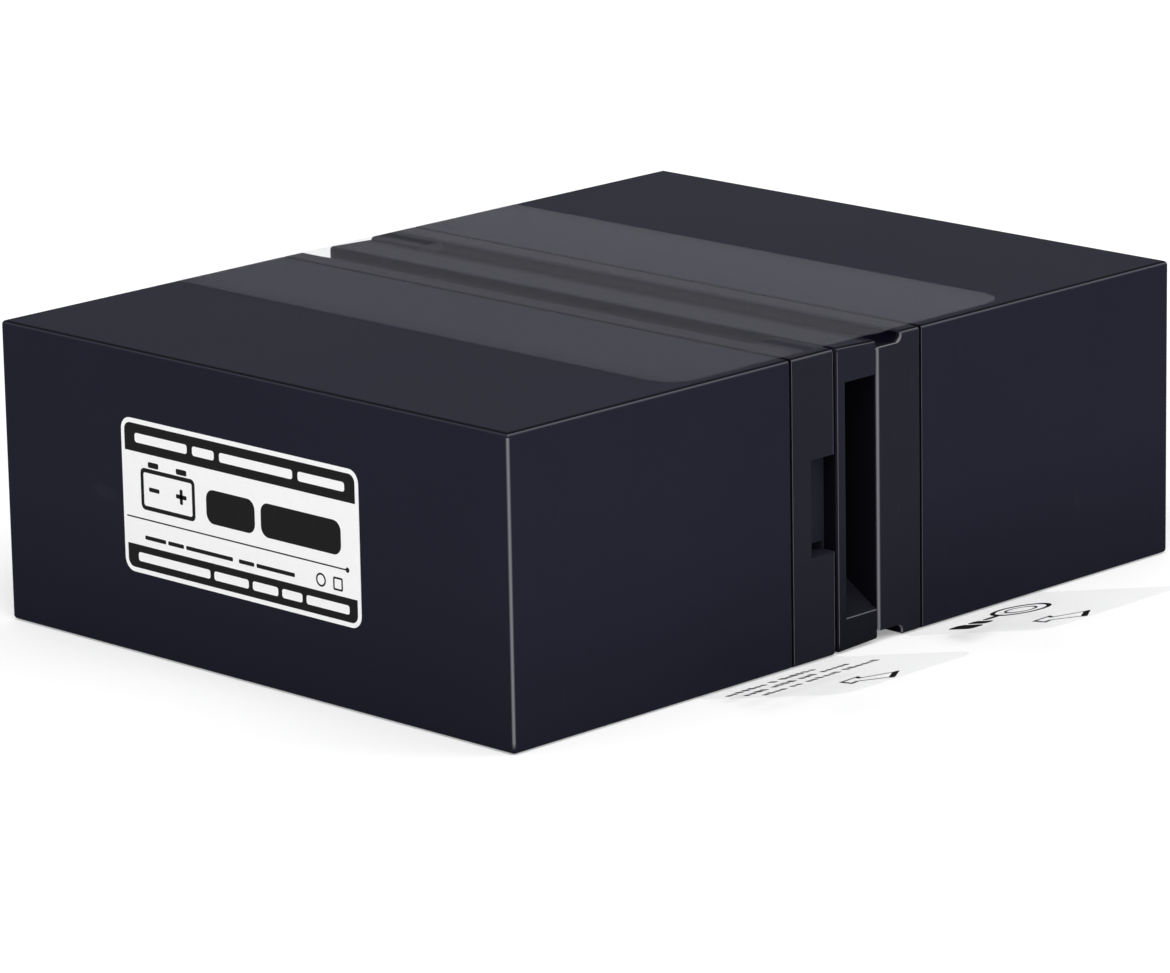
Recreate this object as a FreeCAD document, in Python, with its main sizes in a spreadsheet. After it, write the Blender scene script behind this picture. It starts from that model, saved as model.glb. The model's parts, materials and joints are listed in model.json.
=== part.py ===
import FreeCAD, Part
import os
import re
import Sketcher

os.makedirs("parts", exist_ok=True)
doc = FreeCAD.newDocument("batteryCartridge")

# Driving sizes in millimetres: name, value, what it sets.
sizes = [
    ("caseLength", 151.0, "battery case, end to end"),
    ("caseWidth", 65.0, "battery case, side to side; upright in the pack"),
    ("batteryHeight", 94.0, "case floor to the lid's face"),
    ("lidHeight", 13.3, "middle of the lid seam to the lid's face"),
    ("seamGroove", 0.86, "width of the groove at the seam"),
    ("seamDepth", 1.0, "depth of the groove at the seam"),
    ("edgeRadius", 0.9, "rounding of the case's long edges and floor"),
    ("lidEdge", 0.6, "rounding of the lid's face and steps"),
    ("caseWall", 2.5, "outer wall and floor of the case"),
    ("partitionWall", 1.3, "wall between two cells"),
    ("rebateHeight", 7.5, "step along the lid's sides, below its face"),
    ("rebateDepth", 2.35, "step along the lid's sides, inwards"),
    ("rebateRadius", 1.5, "round in the step's inner corner"),
    ("blockLength", 15.5, "full-width block that ends the steps"),
    ("pocketWidth", 20.7, "pocket in the block's end, across the lid"),
    ("pocketHeight", 7.4, "pocket in the block's end, below the lid's face"),
    ("pocketDepth", 3.3, "pocket in the block's end, inwards"),
    ("slotWidth", 1.9, "slot at one side of the pocket"),
    ("slotDepth", 4.0, "slot beyond the pocket's back"),
    ("wellDepth", 8.0, "lid's face to the deck inside the lid"),
    ("deckWall", 2.0, "deck over the cells"),
    ("ventThick", 2.0, "vent cover"),
    ("ventLedge", 2.0, "ledge that carries the vent cover"),
    ("ventRelief", 5.0, "gas notch at each end of the vent cover"),
    ("fitGap", 0.15, "gap round a piece that drops into its seat"),
    ("neckRadius", 4.5, "outside of a vent neck"),
    ("neckBore", 2.5, "bore radius of a vent neck"),
    ("neckHeight", 3.8, "vent neck above the deck"),
    ("capWall", 1.5, "side wall of a rubber valve cap"),
    ("capTop", 1.0, "top of a rubber valve cap"),
    ("capSkirtGap", 0.4, "valve cap's rim above the deck"),
    ("capEndGap", 0.9, "end caps to the well's ends"),
    ("capSideGap", 0.675, "caps to the well's sides"),
    ("terminalInset", 9.5, "terminal to the end of the case"),
    ("terminalEdge", 6.5, "terminal to the side of the case"),
    ("terminalWellLength", 10.0, "terminal's well, along the lid"),
    ("terminalWellWidth", 6.0, "terminal's well, across the lid"),
    ("tabWidth", 6.35, "push-on tab"),
    ("tabThick", 0.8, "push-on tab"),
    ("tabRise", 6.0, "push-on tab above the lid's face"),
    ("tabChamfer", 1.0, "lead-in at the tab's tip"),
    ("tabHole", 0.9, "radius of the detent hole in the tab"),
    ("footLength", 8.0, "terminal's foot, along the lid"),
    ("footWidth", 5.0, "terminal's foot, across the lid"),
    ("footThick", 1.2, "terminal's foot"),
    ("terminalPost", 2.0, "radius of the post down to the cell"),
    ("sealDrop", 1.0, "potting's surface below the lid's face"),
    ("plateLift", 1.0, "plates above the case floor"),
    ("plateHeadroom", 14.5, "plate's top, without its lug, to the deck"),
    ("plateSideGap", 0.6, "plate to the cell's wall"),
    ("stackGap", 0.2, "plate stack to the cell's wall"),
    ("plusPlate", 2.6, "positive plate's thickness"),
    ("minusPlate", 1.9, "negative plate's thickness"),
    ("separatorOver", 1.5, "separator beyond the plates' top"),
    ("lugWidth", 9.0, "plate lug and strap"),
    ("lugHeight", 5.0, "plate lug above the plate"),
    ("lugInset", 0.4, "lug inside the plate's edge"),
    ("strapThick", 4.0, "cast strap on the lugs"),
    ("linkRadius", 1.8, "cast link through a partition"),
    ("nearGap", 0.8, "near lid's face to the spine"),
    ("farGap", 0.6, "spine to the far lid's face"),
    ("spineDepth", 11.6, "spine, lid to lid"),
    ("spineShort", 0.2, "spine's height at its near face, less than the case's width"),
    ("spineDraft", 0.5, "slope of the spine's top and foot over its depth"),
    ("spineEdge", 0.5, "rounding of the spine's near edges"),
    ("spineWall", 2.2, "spine's near wall"),
    ("rimWall", 3.0, "spine's top and foot walls"),
    ("endWall", 2.0, "spine's rear end wall"),
    ("frontWall", 4.0, "spine's front walls above and below the port"),
    ("portHead", 7.6, "port's mouth to the spine's top"),
    ("portSill", 6.9, "port's mouth to the spine's foot"),
    ("rampRise", 6.1, "height of the port's lead-in ramps"),
    ("rampDepth", 9.4, "length of the ramp at the port's foot"),
    ("headDepth", 18.0, "length of the ramp at the port's head"),
    ("portDepth", 35.0, "mouth to the port's back wall"),
    ("portWall", 2.0, "walls round the port"),
    ("coverThick", 0.9, "cover plate of the spine"),
    ("coverLedge", 1.4, "ledge that carries the cover plate"),
    ("coverSetback", 1.2, "cover plate behind the port's mouth"),
    ("slotPlay", 0.4, "gap round a tab where it enters the spine"),
    ("stripWidth", 6.0, "current strips"),
    ("stripThick", 0.8, "current strips"),
    ("stripOver", 2.0, "strip beyond the terminal that it serves"),
    ("tipGap", 1.0, "tab's tip to the strip behind it"),
    ("contactSpread", 20.0, "distance between the port's two contacts"),
    ("contactReach", 11.5, "contacts in front of the port's back wall"),
    ("turnPlace", 30.0, "where the strips turn towards the port"),
    ("linkTurn", 12.0, "where the series link climbs"),
    ("linkJog", 20.0, "where the series link changes plane"),
    ("socketWidth", 7.4, "push-on socket"),
    ("socketWall", 0.4, "push-on socket's sheet"),
    ("lipWidth", 2.4, "push-on socket's rolled lip"),
    ("bossRadius", 2.2, "boss that carries a strip"),
    ("bossInset", 14.0, "boss to the terminal beside it"),
    ("bossBefore", 25.0, "boss before the place where the strips turn"),
    ("bossBeyond", 16.0, "boss beyond the place where the strips turn"),
    ("pinRadius", 1.0, "pin on a boss"),
    ("pinPlay", 0.1, "gap round a pin"),
    ("padRadius", 2.5, "spacer pads between the spine and the lids"),
    ("padReach", 36.0, "spacer pads from the middle of the spine"),
    ("filmThick", 0.2, "clear film"),
    ("filmWidth", 102.0, "top film across the two batteries"),
    ("filmInset", 2.8, "top film behind the front end"),
    ("filmCorner", 7.0, "rounding of the top film's front corners"),
    ("flapHeight", 22.0, "film folded onto the rear end"),
    ("pullLeft", 47.5, "bottom film, from the middle to its near edge"),
    ("pullRight", 58.5, "bottom film, from the middle to its far edge"),
    ("nearTabWidth", 40.8, "pull tab under the near battery"),
    ("farTabWidth", 44.0, "pull tab under the far battery"),
    ("pullSlit", 3.0, "notch between the tabs, under the pack"),
    ("pullBend", 12.0, "radius of the bend at a pull tab's root"),
    ("pullAngle", 12.5, "slope of a pull tab, in degrees"),
    ("pullRun", 37.5, "straight part of a pull tab"),
    ("pullCorner", 5.0, "rounding of a pull tab's corners"),
    ("labelWidth", 71.0, "label"),
    ("labelHeight", 32.9, "label"),
    ("labelThick", 0.15, "label"),
    ("labelShift", 2.6, "label's middle from the middle of the case"),
    ("labelRaise", 1.55, "label's middle above the middle of the case"),
    ("labelCorner", 2.75, "rounding of the label's corners"),
]

sheet = doc.addObject("Spreadsheet::Sheet", "sizes")
for row, (alias, number, note) in enumerate(sizes, start=1):
    sheet.set(f"A{row}", alias)
    sheet.set(f"B{row}", str(number))
    sheet.set(f"C{row}", note)
    sheet.setAlias(f"B{row}", alias)
doc.recompute()
aliases = {alias for alias, number, note in sizes}

# Formulas that several pieces share.
seamHeight = "(batteryHeight - lidHeight)"
cellLength = "((caseLength - 2 * caseWall - 2 * partitionWall) / 3)"
cellWidth = "((caseWidth - 2 * caseWall - partitionWall) / 2)"
cellPitch = f"({cellLength} + partitionWall)"
cellRow = "((caseWidth - 2 * caseWall + partitionWall) / 4)"
rimTop = f"({seamHeight} + seamGroove / 2)"
grooveFoot = f"({seamHeight} - seamGroove / 2)"
deckTop = "(batteryHeight - wellDepth)"
deckFoot = f"({deckTop} - deckWall)"
stepFloor = "(batteryHeight - rebateHeight)"
terminalPlace = "(caseLength / 2 - terminalInset)"
terminalLevel = "(caseWidth / 2 - terminalEdge)"
stripUpper = f"({terminalLevel} + stripWidth / 2)"
stripLower = f"({terminalLevel} - stripWidth / 2)"
ventLength = f"(2 * ({cellPitch} + neckRadius + capWall + capEndGap + ventLedge))"
ventWidth = f"(2 * ({cellRow} + neckRadius + capWall + capSideGap + ventLedge))"
plateFoot = "(caseWall + plateLift)"
plateTop = f"({deckFoot} - plateHeadroom)"
plateEdge = f"({cellLength} / 2 - plateSideGap)"
lugTop = f"({plateTop} + lugHeight)"
lugOuter = f"({plateEdge} - lugInset)"
lugInner = f"({lugOuter} - lugWidth)"
separator = f"(({cellWidth} - 2 * stackGap - 5 * minusPlate - 4 * plusPlate) / 8)"
stackPitch = f"(plusPlate + minusPlate + 2 * {separator})"
stackFoot = "(caseWall + stackGap - caseWidth / 2)"
stackHeight = f"({cellWidth} - 2 * stackGap)"
faceGap = "(nearGap + spineDepth + farGap)"
packMiddle = "(filmThick + caseWidth / 2)"
spineEnd = "(caseLength / 2)"
portBack = "(portDepth - caseLength / 2)"
rampEnd = "(rampDepth - caseLength / 2)"
headEnd = "(headDepth - caseLength / 2)"
spineTop = "((caseWidth - spineShort) / 2)"
portTop = f"({spineTop} - portHead)"
portBottom = f"({spineTop} - portSill)"
neckTop = f"({portTop} - rampRise)"
neckBottom = f"({portBottom} - rampRise)"
nearStrip = "(tabRise - nearGap + tipGap)"
farStrip = "(spineDepth + farGap - tabRise - tipGap - stripThick)"
rimInner = f"({spineTop} - rimWall)"


def cell(text):
    # Puts the sheet's name in front of each size that a formula names.
    return re.sub(r"[A-Za-z]\w*", lambda word: f"sizes.{word[0]}" if word[0] in aliases else word[0], text)


def value(text):
    return float(sheet.evalExpression(cell(text)))


def originPlane(body, role):
    return next(feature for feature in body.Origin.OriginFeatures if feature.Role == role)


def makeBody(label):
    body = doc.addObject("PartDesign::Body", label)
    body.Label = label
    body.AllowCompound = True
    return body


def makeSketch(body, role, offset="0"):
    # Offset runs along the plane's normal: +X for YZ, +Z for XY, -Y for XZ.
    sketch = body.newObject("Sketcher::SketchObject", f"{body.Label}_sketch")
    sketch.AttachmentSupport = [(originPlane(body, role), "")]
    sketch.MapMode = "FlatFace"
    if offset != "0":
        sketch.setExpression("AttachmentOffset.Base.z", cell(offset))
    return sketch


def fixPoint(sketch, shape, point, across, upward):
    for kind, text in (("DistanceX", across), ("DistanceY", upward)):
        number = sketch.addConstraint(Sketcher.Constraint(kind, shape, point, value(text)))
        sketch.setExpression(f"Constraints[{number}]", cell(text))


def endAt(sketch, shape, place):
    return 1 if sketch.getPoint(shape, 1).distanceToPoint(place) < 1e-4 else 2


def addOutline(sketch, corners):
    # A corner is (across, upward), with a third item where an arc about that centre follows it.
    first = sketch.GeometryCount
    points = [FreeCAD.Vector(value(corner[0]), value(corner[1]), 0) for corner in corners]
    for index, corner in enumerate(corners):
        start = points[index]
        finish = points[(index + 1) % len(points)]
        if len(corner) == 2:
            sketch.addGeometry(Part.LineSegment(start, finish))
            continue
        centre = FreeCAD.Vector(value(corner[2][0]), value(corner[2][1]), 0)
        outward = ((start + finish) * 0.5 - centre).normalize()
        middle = centre + outward * start.distanceToPoint(centre)
        sketch.addGeometry(Part.Arc(start, middle, finish))
        number = sketch.addConstraint(Sketcher.Constraint("DistanceX", first + index, 3, centre.x))
        sketch.setExpression(f"Constraints[{number}]", cell(corner[2][0]))
    for index, corner in enumerate(corners):
        before = first + (index - 1) % len(corners)
        shape = first + index
        begin = endAt(sketch, shape, points[index])
        joined = (before, endAt(sketch, before, points[index]), shape, begin)
        sketch.addConstraint(Sketcher.Constraint("Coincident", *joined))
        fixPoint(sketch, shape, begin, corner[0], corner[1])


def addRectangle(sketch, left, bottom, right, top):
    addOutline(sketch, [(left, bottom), (right, bottom), (right, top), (left, top)])


def addCentred(sketch, across, upward, width, height):
    addRectangle(sketch, f"{across} - {width} / 2", f"{upward} - {height} / 2",
                 f"{across} + {width} / 2", f"{upward} + {height} / 2")


def addCircle(sketch, across, upward, radius):
    centre = FreeCAD.Vector(value(across), value(upward), 0)
    shape = sketch.addGeometry(Part.Circle(centre, FreeCAD.Vector(0, 0, 1), value(radius)))
    fixPoint(sketch, shape, 3, across, upward)
    number = sketch.addConstraint(Sketcher.Constraint("Radius", shape, value(radius)))
    sketch.setExpression(f"Constraints[{number}]", cell(radius))


def extrude(body, kind, sketch, length, reverse=False, symmetric=False):
    feature = body.newObject(f"PartDesign::{kind}", f"{body.Label}_{kind.lower()}")
    feature.Profile = sketch
    feature.setExpression("Length", cell(length))
    feature.Reversed = reverse
    feature.SideType = "Symmetric" if symmetric else "One side"
    return feature


def pad(body, sketch, length, **options):
    return extrude(body, "Pad", sketch, length, **options)


def pocket(body, sketch, length, **options):
    # A pocket cuts against its sketch plane's normal unless it is reversed.
    return extrude(body, "Pocket", sketch, length, **options)


def roundEdges(body, radius, chosen):
    # Rounds the edges of the body's last feature for which chosen(edge) is true.
    doc.recompute()
    base = body.Tip
    names = [f"Edge{index}" for index, edge in enumerate(base.Shape.Edges, start=1) if chosen(edge)]
    fillet = body.newObject("PartDesign::Fillet", f"{body.Label}_fillet")
    fillet.Base = (base, names)
    fillet.setExpression("Radius", cell(radius))
    body.Tip = fillet
    doc.recompute()
    return fillet


def runsAlong(edge, axis):
    box = edge.BoundBox
    lengths = {"x": box.XLength, "y": box.YLength, "z": box.ZLength}
    own = lengths.pop(axis)
    return own > 1e-6 and max(lengths.values()) < 1e-6


def near(first, second):
    return abs(first - second) < 1e-4


def makePattern(body, originals, steps):
    # Steps are (axis, count, pitch) for rows, or (axis, count, None) for turns about that axis.
    pattern = body.newObject("PartDesign::MultiTransform", f"{body.Label}_pattern")
    pattern.Originals = originals
    moves = []
    for axis, count, pitch in steps:
        kind = "PolarPattern" if pitch is None else "LinearPattern"
        move = body.newObject(f"PartDesign::{kind}", f"{body.Label}_{kind.lower()}")
        if pitch is None:
            move.Axis = (originPlane(body, axis), [""])
            move.Angle = 360
        else:
            move.Direction = (originPlane(body, axis), [""])
            move.Mode = "Spacing"
            move.setExpression("Offset", cell(pitch))
        move.Occurrences = count
        moves.append(move)
    pattern.Transformations = moves
    body.Tip = pattern
    return pattern


parts = []


def seatInBattery(body, end):
    # A battery's own frame starts at the middle of its case floor, +X towards the lid.
    # The far battery is the near one turned half round the upright axis.
    turn = 0 if end == "near" else 180
    side = "-" if end == "near" else ""
    body.Placement = FreeCAD.Placement(FreeCAD.Vector(), FreeCAD.Rotation(FreeCAD.Vector(0, 0, 1), turn))
    body.setExpression("Placement.Base.x", cell(f"{side}({faceGap} / 2 + batteryHeight)"))
    body.setExpression("Placement.Base.z", cell(packMiddle))
    parts.append(body)


def seatInSpine(body):
    # The spine's own frame starts at the middle of its near face.
    body.setExpression("Placement.Base.x", cell(f"nearGap - {faceGap} / 2"))
    body.setExpression("Placement.Base.z", cell(packMiddle))
    parts.append(body)


def makeContainer(end):
    body = makeBody(f"container_{end}")
    outside = makeSketch(body, "YZ_Plane")
    addCentred(outside, "0", "0", "caseLength", "caseWidth")
    pad(body, outside, grooveFoot)
    rounded = value(grooveFoot)
    roundEdges(body, "edgeRadius", lambda edge: not near(edge.BoundBox.XMin, rounded))
    rim = makeSketch(body, "YZ_Plane", grooveFoot)
    addCentred(rim, "0", "0", "(caseLength - 2 * seamDepth)", "(caseWidth - 2 * seamDepth)")
    pad(body, rim, "seamGroove")
    well = makeSketch(body, "YZ_Plane", rimTop)
    left = "(caseWall - caseLength / 2)"
    foot = "(caseWall - caseWidth / 2)"
    addRectangle(well, left, foot, f"{left} + {cellLength}", f"{foot} + {cellWidth}")
    wells = pocket(body, well, f"{rimTop} - caseWall")
    rowPitch = f"{cellWidth} + partitionWall"
    makePattern(body, [wells], [("Y_Axis", 3, cellPitch), ("Z_Axis", 2, rowPitch)])
    # Holes through the partitions for the cast links.
    linkPlace = f"{lugTop} + strapThick / 2"
    across = makeSketch(body, "XZ_Plane")
    addCircle(across, linkPlace, f"-{cellRow}", "linkRadius")
    addCircle(across, linkPlace, cellRow, "linkRadius")
    pocket(body, across, f"{cellLength} + 3 * partitionWall", symmetric=True)
    upright = makeSketch(body, "XY_Plane")
    addCircle(upright, linkPlace, f"-({cellPitch} + {lugInner} + lugWidth / 2)", "linkRadius")
    pocket(body, upright, "2 * partitionWall", symmetric=True)
    seatInBattery(body, end)


def stepProfile(side):
    # Section of what is cut away: rounded outer edge, round inner corner, rounded face edge.
    outer = "caseWidth / 2"
    inner = "(caseWidth / 2 - rebateDepth)"
    lip = f"({stepFloor} - lidEdge)"
    crown = "(batteryHeight - lidEdge)"
    corners = [
        (lip, f"{outer} + 1"),
        (lip, outer, (lip, f"{outer} - lidEdge")),
        (stepFloor, f"{outer} - lidEdge"),
        (stepFloor, f"{inner} + rebateRadius", (f"{stepFloor} + rebateRadius", f"{inner} + rebateRadius")),
        (f"{stepFloor} + rebateRadius", inner),
        (crown, inner, (crown, f"{inner} - lidEdge")),
        ("batteryHeight", f"{inner} - lidEdge"),
        ("batteryHeight + 1", f"{inner} - lidEdge"),
        ("batteryHeight + 1", f"{outer} + 1"),
    ]
    if side == "":
        return corners
    return [(corner[0], f"-({corner[1]})") if len(corner) == 2
            else (corner[0], f"-({corner[1]})", (corner[2][0], f"-({corner[2][1]})")) for corner in corners]


def makeLid(end):
    body = makeBody(f"lid_{end}")
    outside = makeSketch(body, "YZ_Plane", rimTop)
    addCentred(outside, "0", "0", "caseLength", "caseWidth")
    pad(body, outside, f"batteryHeight - {rimTop}")
    doc.recompute()
    seam = value(rimTop)
    roundEdges(body, "edgeRadius", lambda edge: not near(edge.BoundBox.XMin, seam) or runsAlong(edge, "x"))
    # Steps along both sides, from the terminal end to the end block.
    steps = makeSketch(body, "XZ_Plane", "-caseLength / 2 - 1")
    for side in ("", "-"):
        addOutline(steps, stepProfile(side))
    pocket(body, steps, "caseLength - blockLength + 1", reverse=True)
    # Pocket in the block's end, open to the lid's face, with a deeper slot at its foot.
    grip = makeSketch(body, "XZ_Plane", "caseLength / 2")
    addRectangle(grip, "batteryHeight - pocketHeight", "-pocketWidth / 2",
                 "batteryHeight + 1", "pocketWidth / 2")
    pocket(body, grip, "pocketDepth")
    slot = makeSketch(body, "XZ_Plane", "caseLength / 2")
    addRectangle(slot, "batteryHeight - pocketHeight", "-pocketWidth / 2",
                 "batteryHeight - lidEdge", "slotWidth - pocketWidth / 2")
    pocket(body, slot, "pocketDepth + slotDepth")
    # Seat of the vent cover, and under it the well with six vent necks standing on the deck.
    seat = makeSketch(body, "YZ_Plane", "batteryHeight")
    addCentred(seat, "0", "0", ventLength, ventWidth)
    pocket(body, seat, "ventThick")
    well = makeSketch(body, "YZ_Plane", "batteryHeight")
    neck = makeSketch(body, "YZ_Plane", "batteryHeight")
    bore = makeSketch(body, "YZ_Plane", "batteryHeight")
    addCentred(well, "0", "0", f"({ventLength} - 2 * ventLedge)", f"({ventWidth} - 2 * ventLedge)")
    for place in (f"-{cellPitch}", "0", cellPitch):
        for height in (f"-{cellRow}", cellRow):
            addCircle(well, place, height, "neckRadius")
            addCircle(neck, place, height, "neckRadius")
            addCircle(bore, place, height, "neckBore")
    # Two terminal wells, each with a hole for the post.
    for direction in ("", "-"):
        addCentred(well, terminalPlace, f"{direction}{terminalLevel}",
                   "terminalWellLength", "terminalWellWidth")
        addCircle(bore, terminalPlace, f"{direction}{terminalLevel}", "terminalPost")
    pocket(body, well, "wellDepth")
    pocket(body, neck, "wellDepth - neckHeight")
    pocket(body, bore, "wellDepth + deckWall")
    # Hollows over the cells, between ribs that stand on the case's partitions.
    hollow = makeSketch(body, "YZ_Plane", rimTop)
    left = "(caseWall - caseLength / 2)"
    foot = "(caseWall - caseWidth / 2)"
    addRectangle(hollow, left, foot, f"{left} + {cellLength}", f"{foot} + {cellWidth}")
    hollows = pocket(body, hollow, f"{deckFoot} - {rimTop}", reverse=True)
    rowPitch = f"{cellWidth} + partitionWall"
    makePattern(body, [hollows], [("Y_Axis", 3, cellPitch), ("Z_Axis", 2, rowPitch)])
    seatInBattery(body, end)


def makeVentCover(end):
    body = makeBody(f"vent_cover_{end}")
    outline = makeSketch(body, "YZ_Plane", "batteryHeight")
    addCentred(outline, "0", "0", f"({ventLength} - 2 * fitGap)", f"({ventWidth} - 2 * fitGap)")
    pad(body, outline, "ventThick", reverse=True)
    notch = makeSketch(body, "YZ_Plane", "batteryHeight")
    for direction in ("", "-"):
        addCentred(notch, f"{direction}({ventLength} / 2)", "0", "ventLedge", "ventRelief")
    pocket(body, notch, "ventThick")
    seatInBattery(body, end)


def makeVentCaps(end):
    body = makeBody(f"vent_caps_{end}")
    capFoot = f"({deckTop} + capSkirtGap)"
    outline = makeSketch(body, "YZ_Plane", capFoot)
    addCircle(outline, f"-{cellPitch}", f"-{cellRow}", "neckRadius + capWall")
    cup = pad(body, outline, "neckHeight - capSkirtGap + capTop")
    hollow = makeSketch(body, "YZ_Plane", capFoot)
    addCircle(hollow, f"-{cellPitch}", f"-{cellRow}", "neckRadius")
    bore = pocket(body, hollow, "neckHeight - capSkirtGap", reverse=True)
    makePattern(body, [cup, bore], [("Y_Axis", 3, cellPitch), ("Z_Axis", 2, f"2 * {cellRow}")])
    seatInBattery(body, end)


def makeTerminal(end, pole):
    body = makeBody(f"terminal_{pole}_{end}")
    side = "" if pole == "plus" else "-"
    height = f"{side}{terminalLevel}"
    footTop = f"({deckTop} + footThick)"
    tip = "(batteryHeight + tabRise)"
    foot = makeSketch(body, "YZ_Plane", deckTop)
    addCentred(foot, terminalPlace, height, "footLength", "footWidth")
    pad(body, foot, "footThick")
    left = f"({terminalPlace} - tabWidth / 2)"
    right = f"({terminalPlace} + tabWidth / 2)"
    blade = makeSketch(body, "XY_Plane", height)
    addOutline(blade, [(deckTop, left), (f"{tip} - tabChamfer", left), (tip, f"{left} + tabChamfer"),
                       (tip, f"{right} - tabChamfer"), (f"{tip} - tabChamfer", right), (deckTop, right)])
    addCircle(blade, f"{tip} - tabRise / 2", terminalPlace, "tabHole")
    pad(body, blade, "tabThick", symmetric=True)
    post = makeSketch(body, "YZ_Plane", footTop)
    addCircle(post, terminalPlace, height, "terminalPost")
    pad(body, post, f"{footTop} - {lugTop} - strapThick", reverse=True)
    seatInBattery(body, end)


def makeSeal(end, pole):
    body = makeBody(f"seal_{pole}_{end}")
    side = "" if pole == "plus" else "-"
    height = f"{side}{terminalLevel}"
    footTop = f"({deckTop} + footThick)"
    outline = makeSketch(body, "YZ_Plane", footTop)
    addCentred(outline, terminalPlace, height, "terminalWellLength", "terminalWellWidth")
    addCentred(outline, terminalPlace, height, "tabWidth", "tabThick")
    pad(body, outline, f"batteryHeight - sealDrop - {footTop}")
    seatInBattery(body, end)


def makePlates(end, pole):
    # Each plate is pasted grid with a lug, the plus lug at one side and the minus lug at the other.
    body = makeBody(f"plates_{pole}_{end}")
    thick = "plusPlate" if pole == "plus" else "minusPlate"
    count = 4 if pole == "plus" else 5
    start = f"{stackFoot} + minusPlate + {separator}" if pole == "plus" else stackFoot
    side = "" if pole == "plus" else "-"
    low = f"(-{cellPitch} - {plateEdge})"
    high = f"({plateEdge} - {cellPitch})"
    lugs = sorted((f"({side}{lugInner} - {cellPitch})", f"({side}{lugOuter} - {cellPitch})"), key=value)
    outline = makeSketch(body, "XY_Plane", start)
    addOutline(outline, [(plateFoot, low), (plateTop, low), (plateTop, lugs[0]), (lugTop, lugs[0]),
                         (lugTop, lugs[1]), (plateTop, lugs[1]), (plateTop, high), (plateFoot, high)])
    plate = pad(body, outline, thick)
    steps = [("Z_Axis", count, stackPitch), ("Y_Axis", 3, cellPitch), ("X_Axis", 2, None)]
    makePattern(body, [plate], steps)
    seatInBattery(body, end)


def makeSeparators(end):
    body = makeBody(f"separators_{end}")
    low = f"(stackGap - {cellPitch} - {cellLength} / 2)"
    high = f"({cellLength} / 2 - {cellPitch} - stackGap)"
    outline = makeSketch(body, "XY_Plane", f"{stackFoot} + minusPlate")
    addRectangle(outline, "caseWall", low, f"{plateTop} + separatorOver", high)
    first = pad(body, outline, separator)
    outline = makeSketch(body, "XY_Plane", f"{stackFoot} + minusPlate + {separator} + plusPlate")
    addRectangle(outline, "caseWall", low, f"{plateTop} + separatorOver", high)
    second = pad(body, outline, separator)
    steps = [("Z_Axis", 4, stackPitch), ("Y_Axis", 3, cellPitch), ("X_Axis", 2, None)]
    makePattern(body, [first, second], steps)
    seatInBattery(body, end)


def makeCellStraps(end):
    # The cells run in a loop: along one row, across to the other and back to the terminal end.
    body = makeBody(f"cell_straps_{end}")
    top = f"({stackFoot} + {stackHeight})"
    inside = makeSketch(body, "YZ_Plane", lugTop)
    addRectangle(inside, f"-{lugOuter}", stackFoot, f"-{lugInner}", top)
    addRectangle(inside, f"{lugInner} - {cellPitch}", stackFoot, f"{lugOuter} - {cellPitch}", top)
    pair = pad(body, inside, "strapThick")
    link = makeSketch(body, "XZ_Plane", f"{cellPitch} / 2")
    addCircle(link, f"{lugTop} + strapThick / 2", f"-{cellRow}", "linkRadius")
    stub = pad(body, link, f"{cellPitch} - 2 * {lugInner}", symmetric=True)
    ends = makeSketch(body, "YZ_Plane", lugTop)
    addRectangle(ends, f"{cellPitch} + {lugInner}", stackFoot, f"{cellPitch} + {lugOuter}", top)
    addRectangle(ends, f"-({cellPitch} + {lugOuter})", stackFoot, f"-({cellPitch} + {lugInner})", top)
    outer = pad(body, ends, "strapThick")
    makePattern(body, [pair, stub], [("Y_Axis", 2, cellPitch), ("X_Axis", 2, None)])
    makePattern(body, [outer], [("X_Axis", 2, None)])
    crossing = makeSketch(body, "XY_Plane")
    addCircle(crossing, f"{lugTop} + strapThick / 2", f"-({cellPitch} + {lugInner} + lugWidth / 2)",
              "linkRadius")
    body.Tip = pad(body, crossing, f"{stackHeight}", symmetric=True)
    seatInBattery(body, end)


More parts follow.
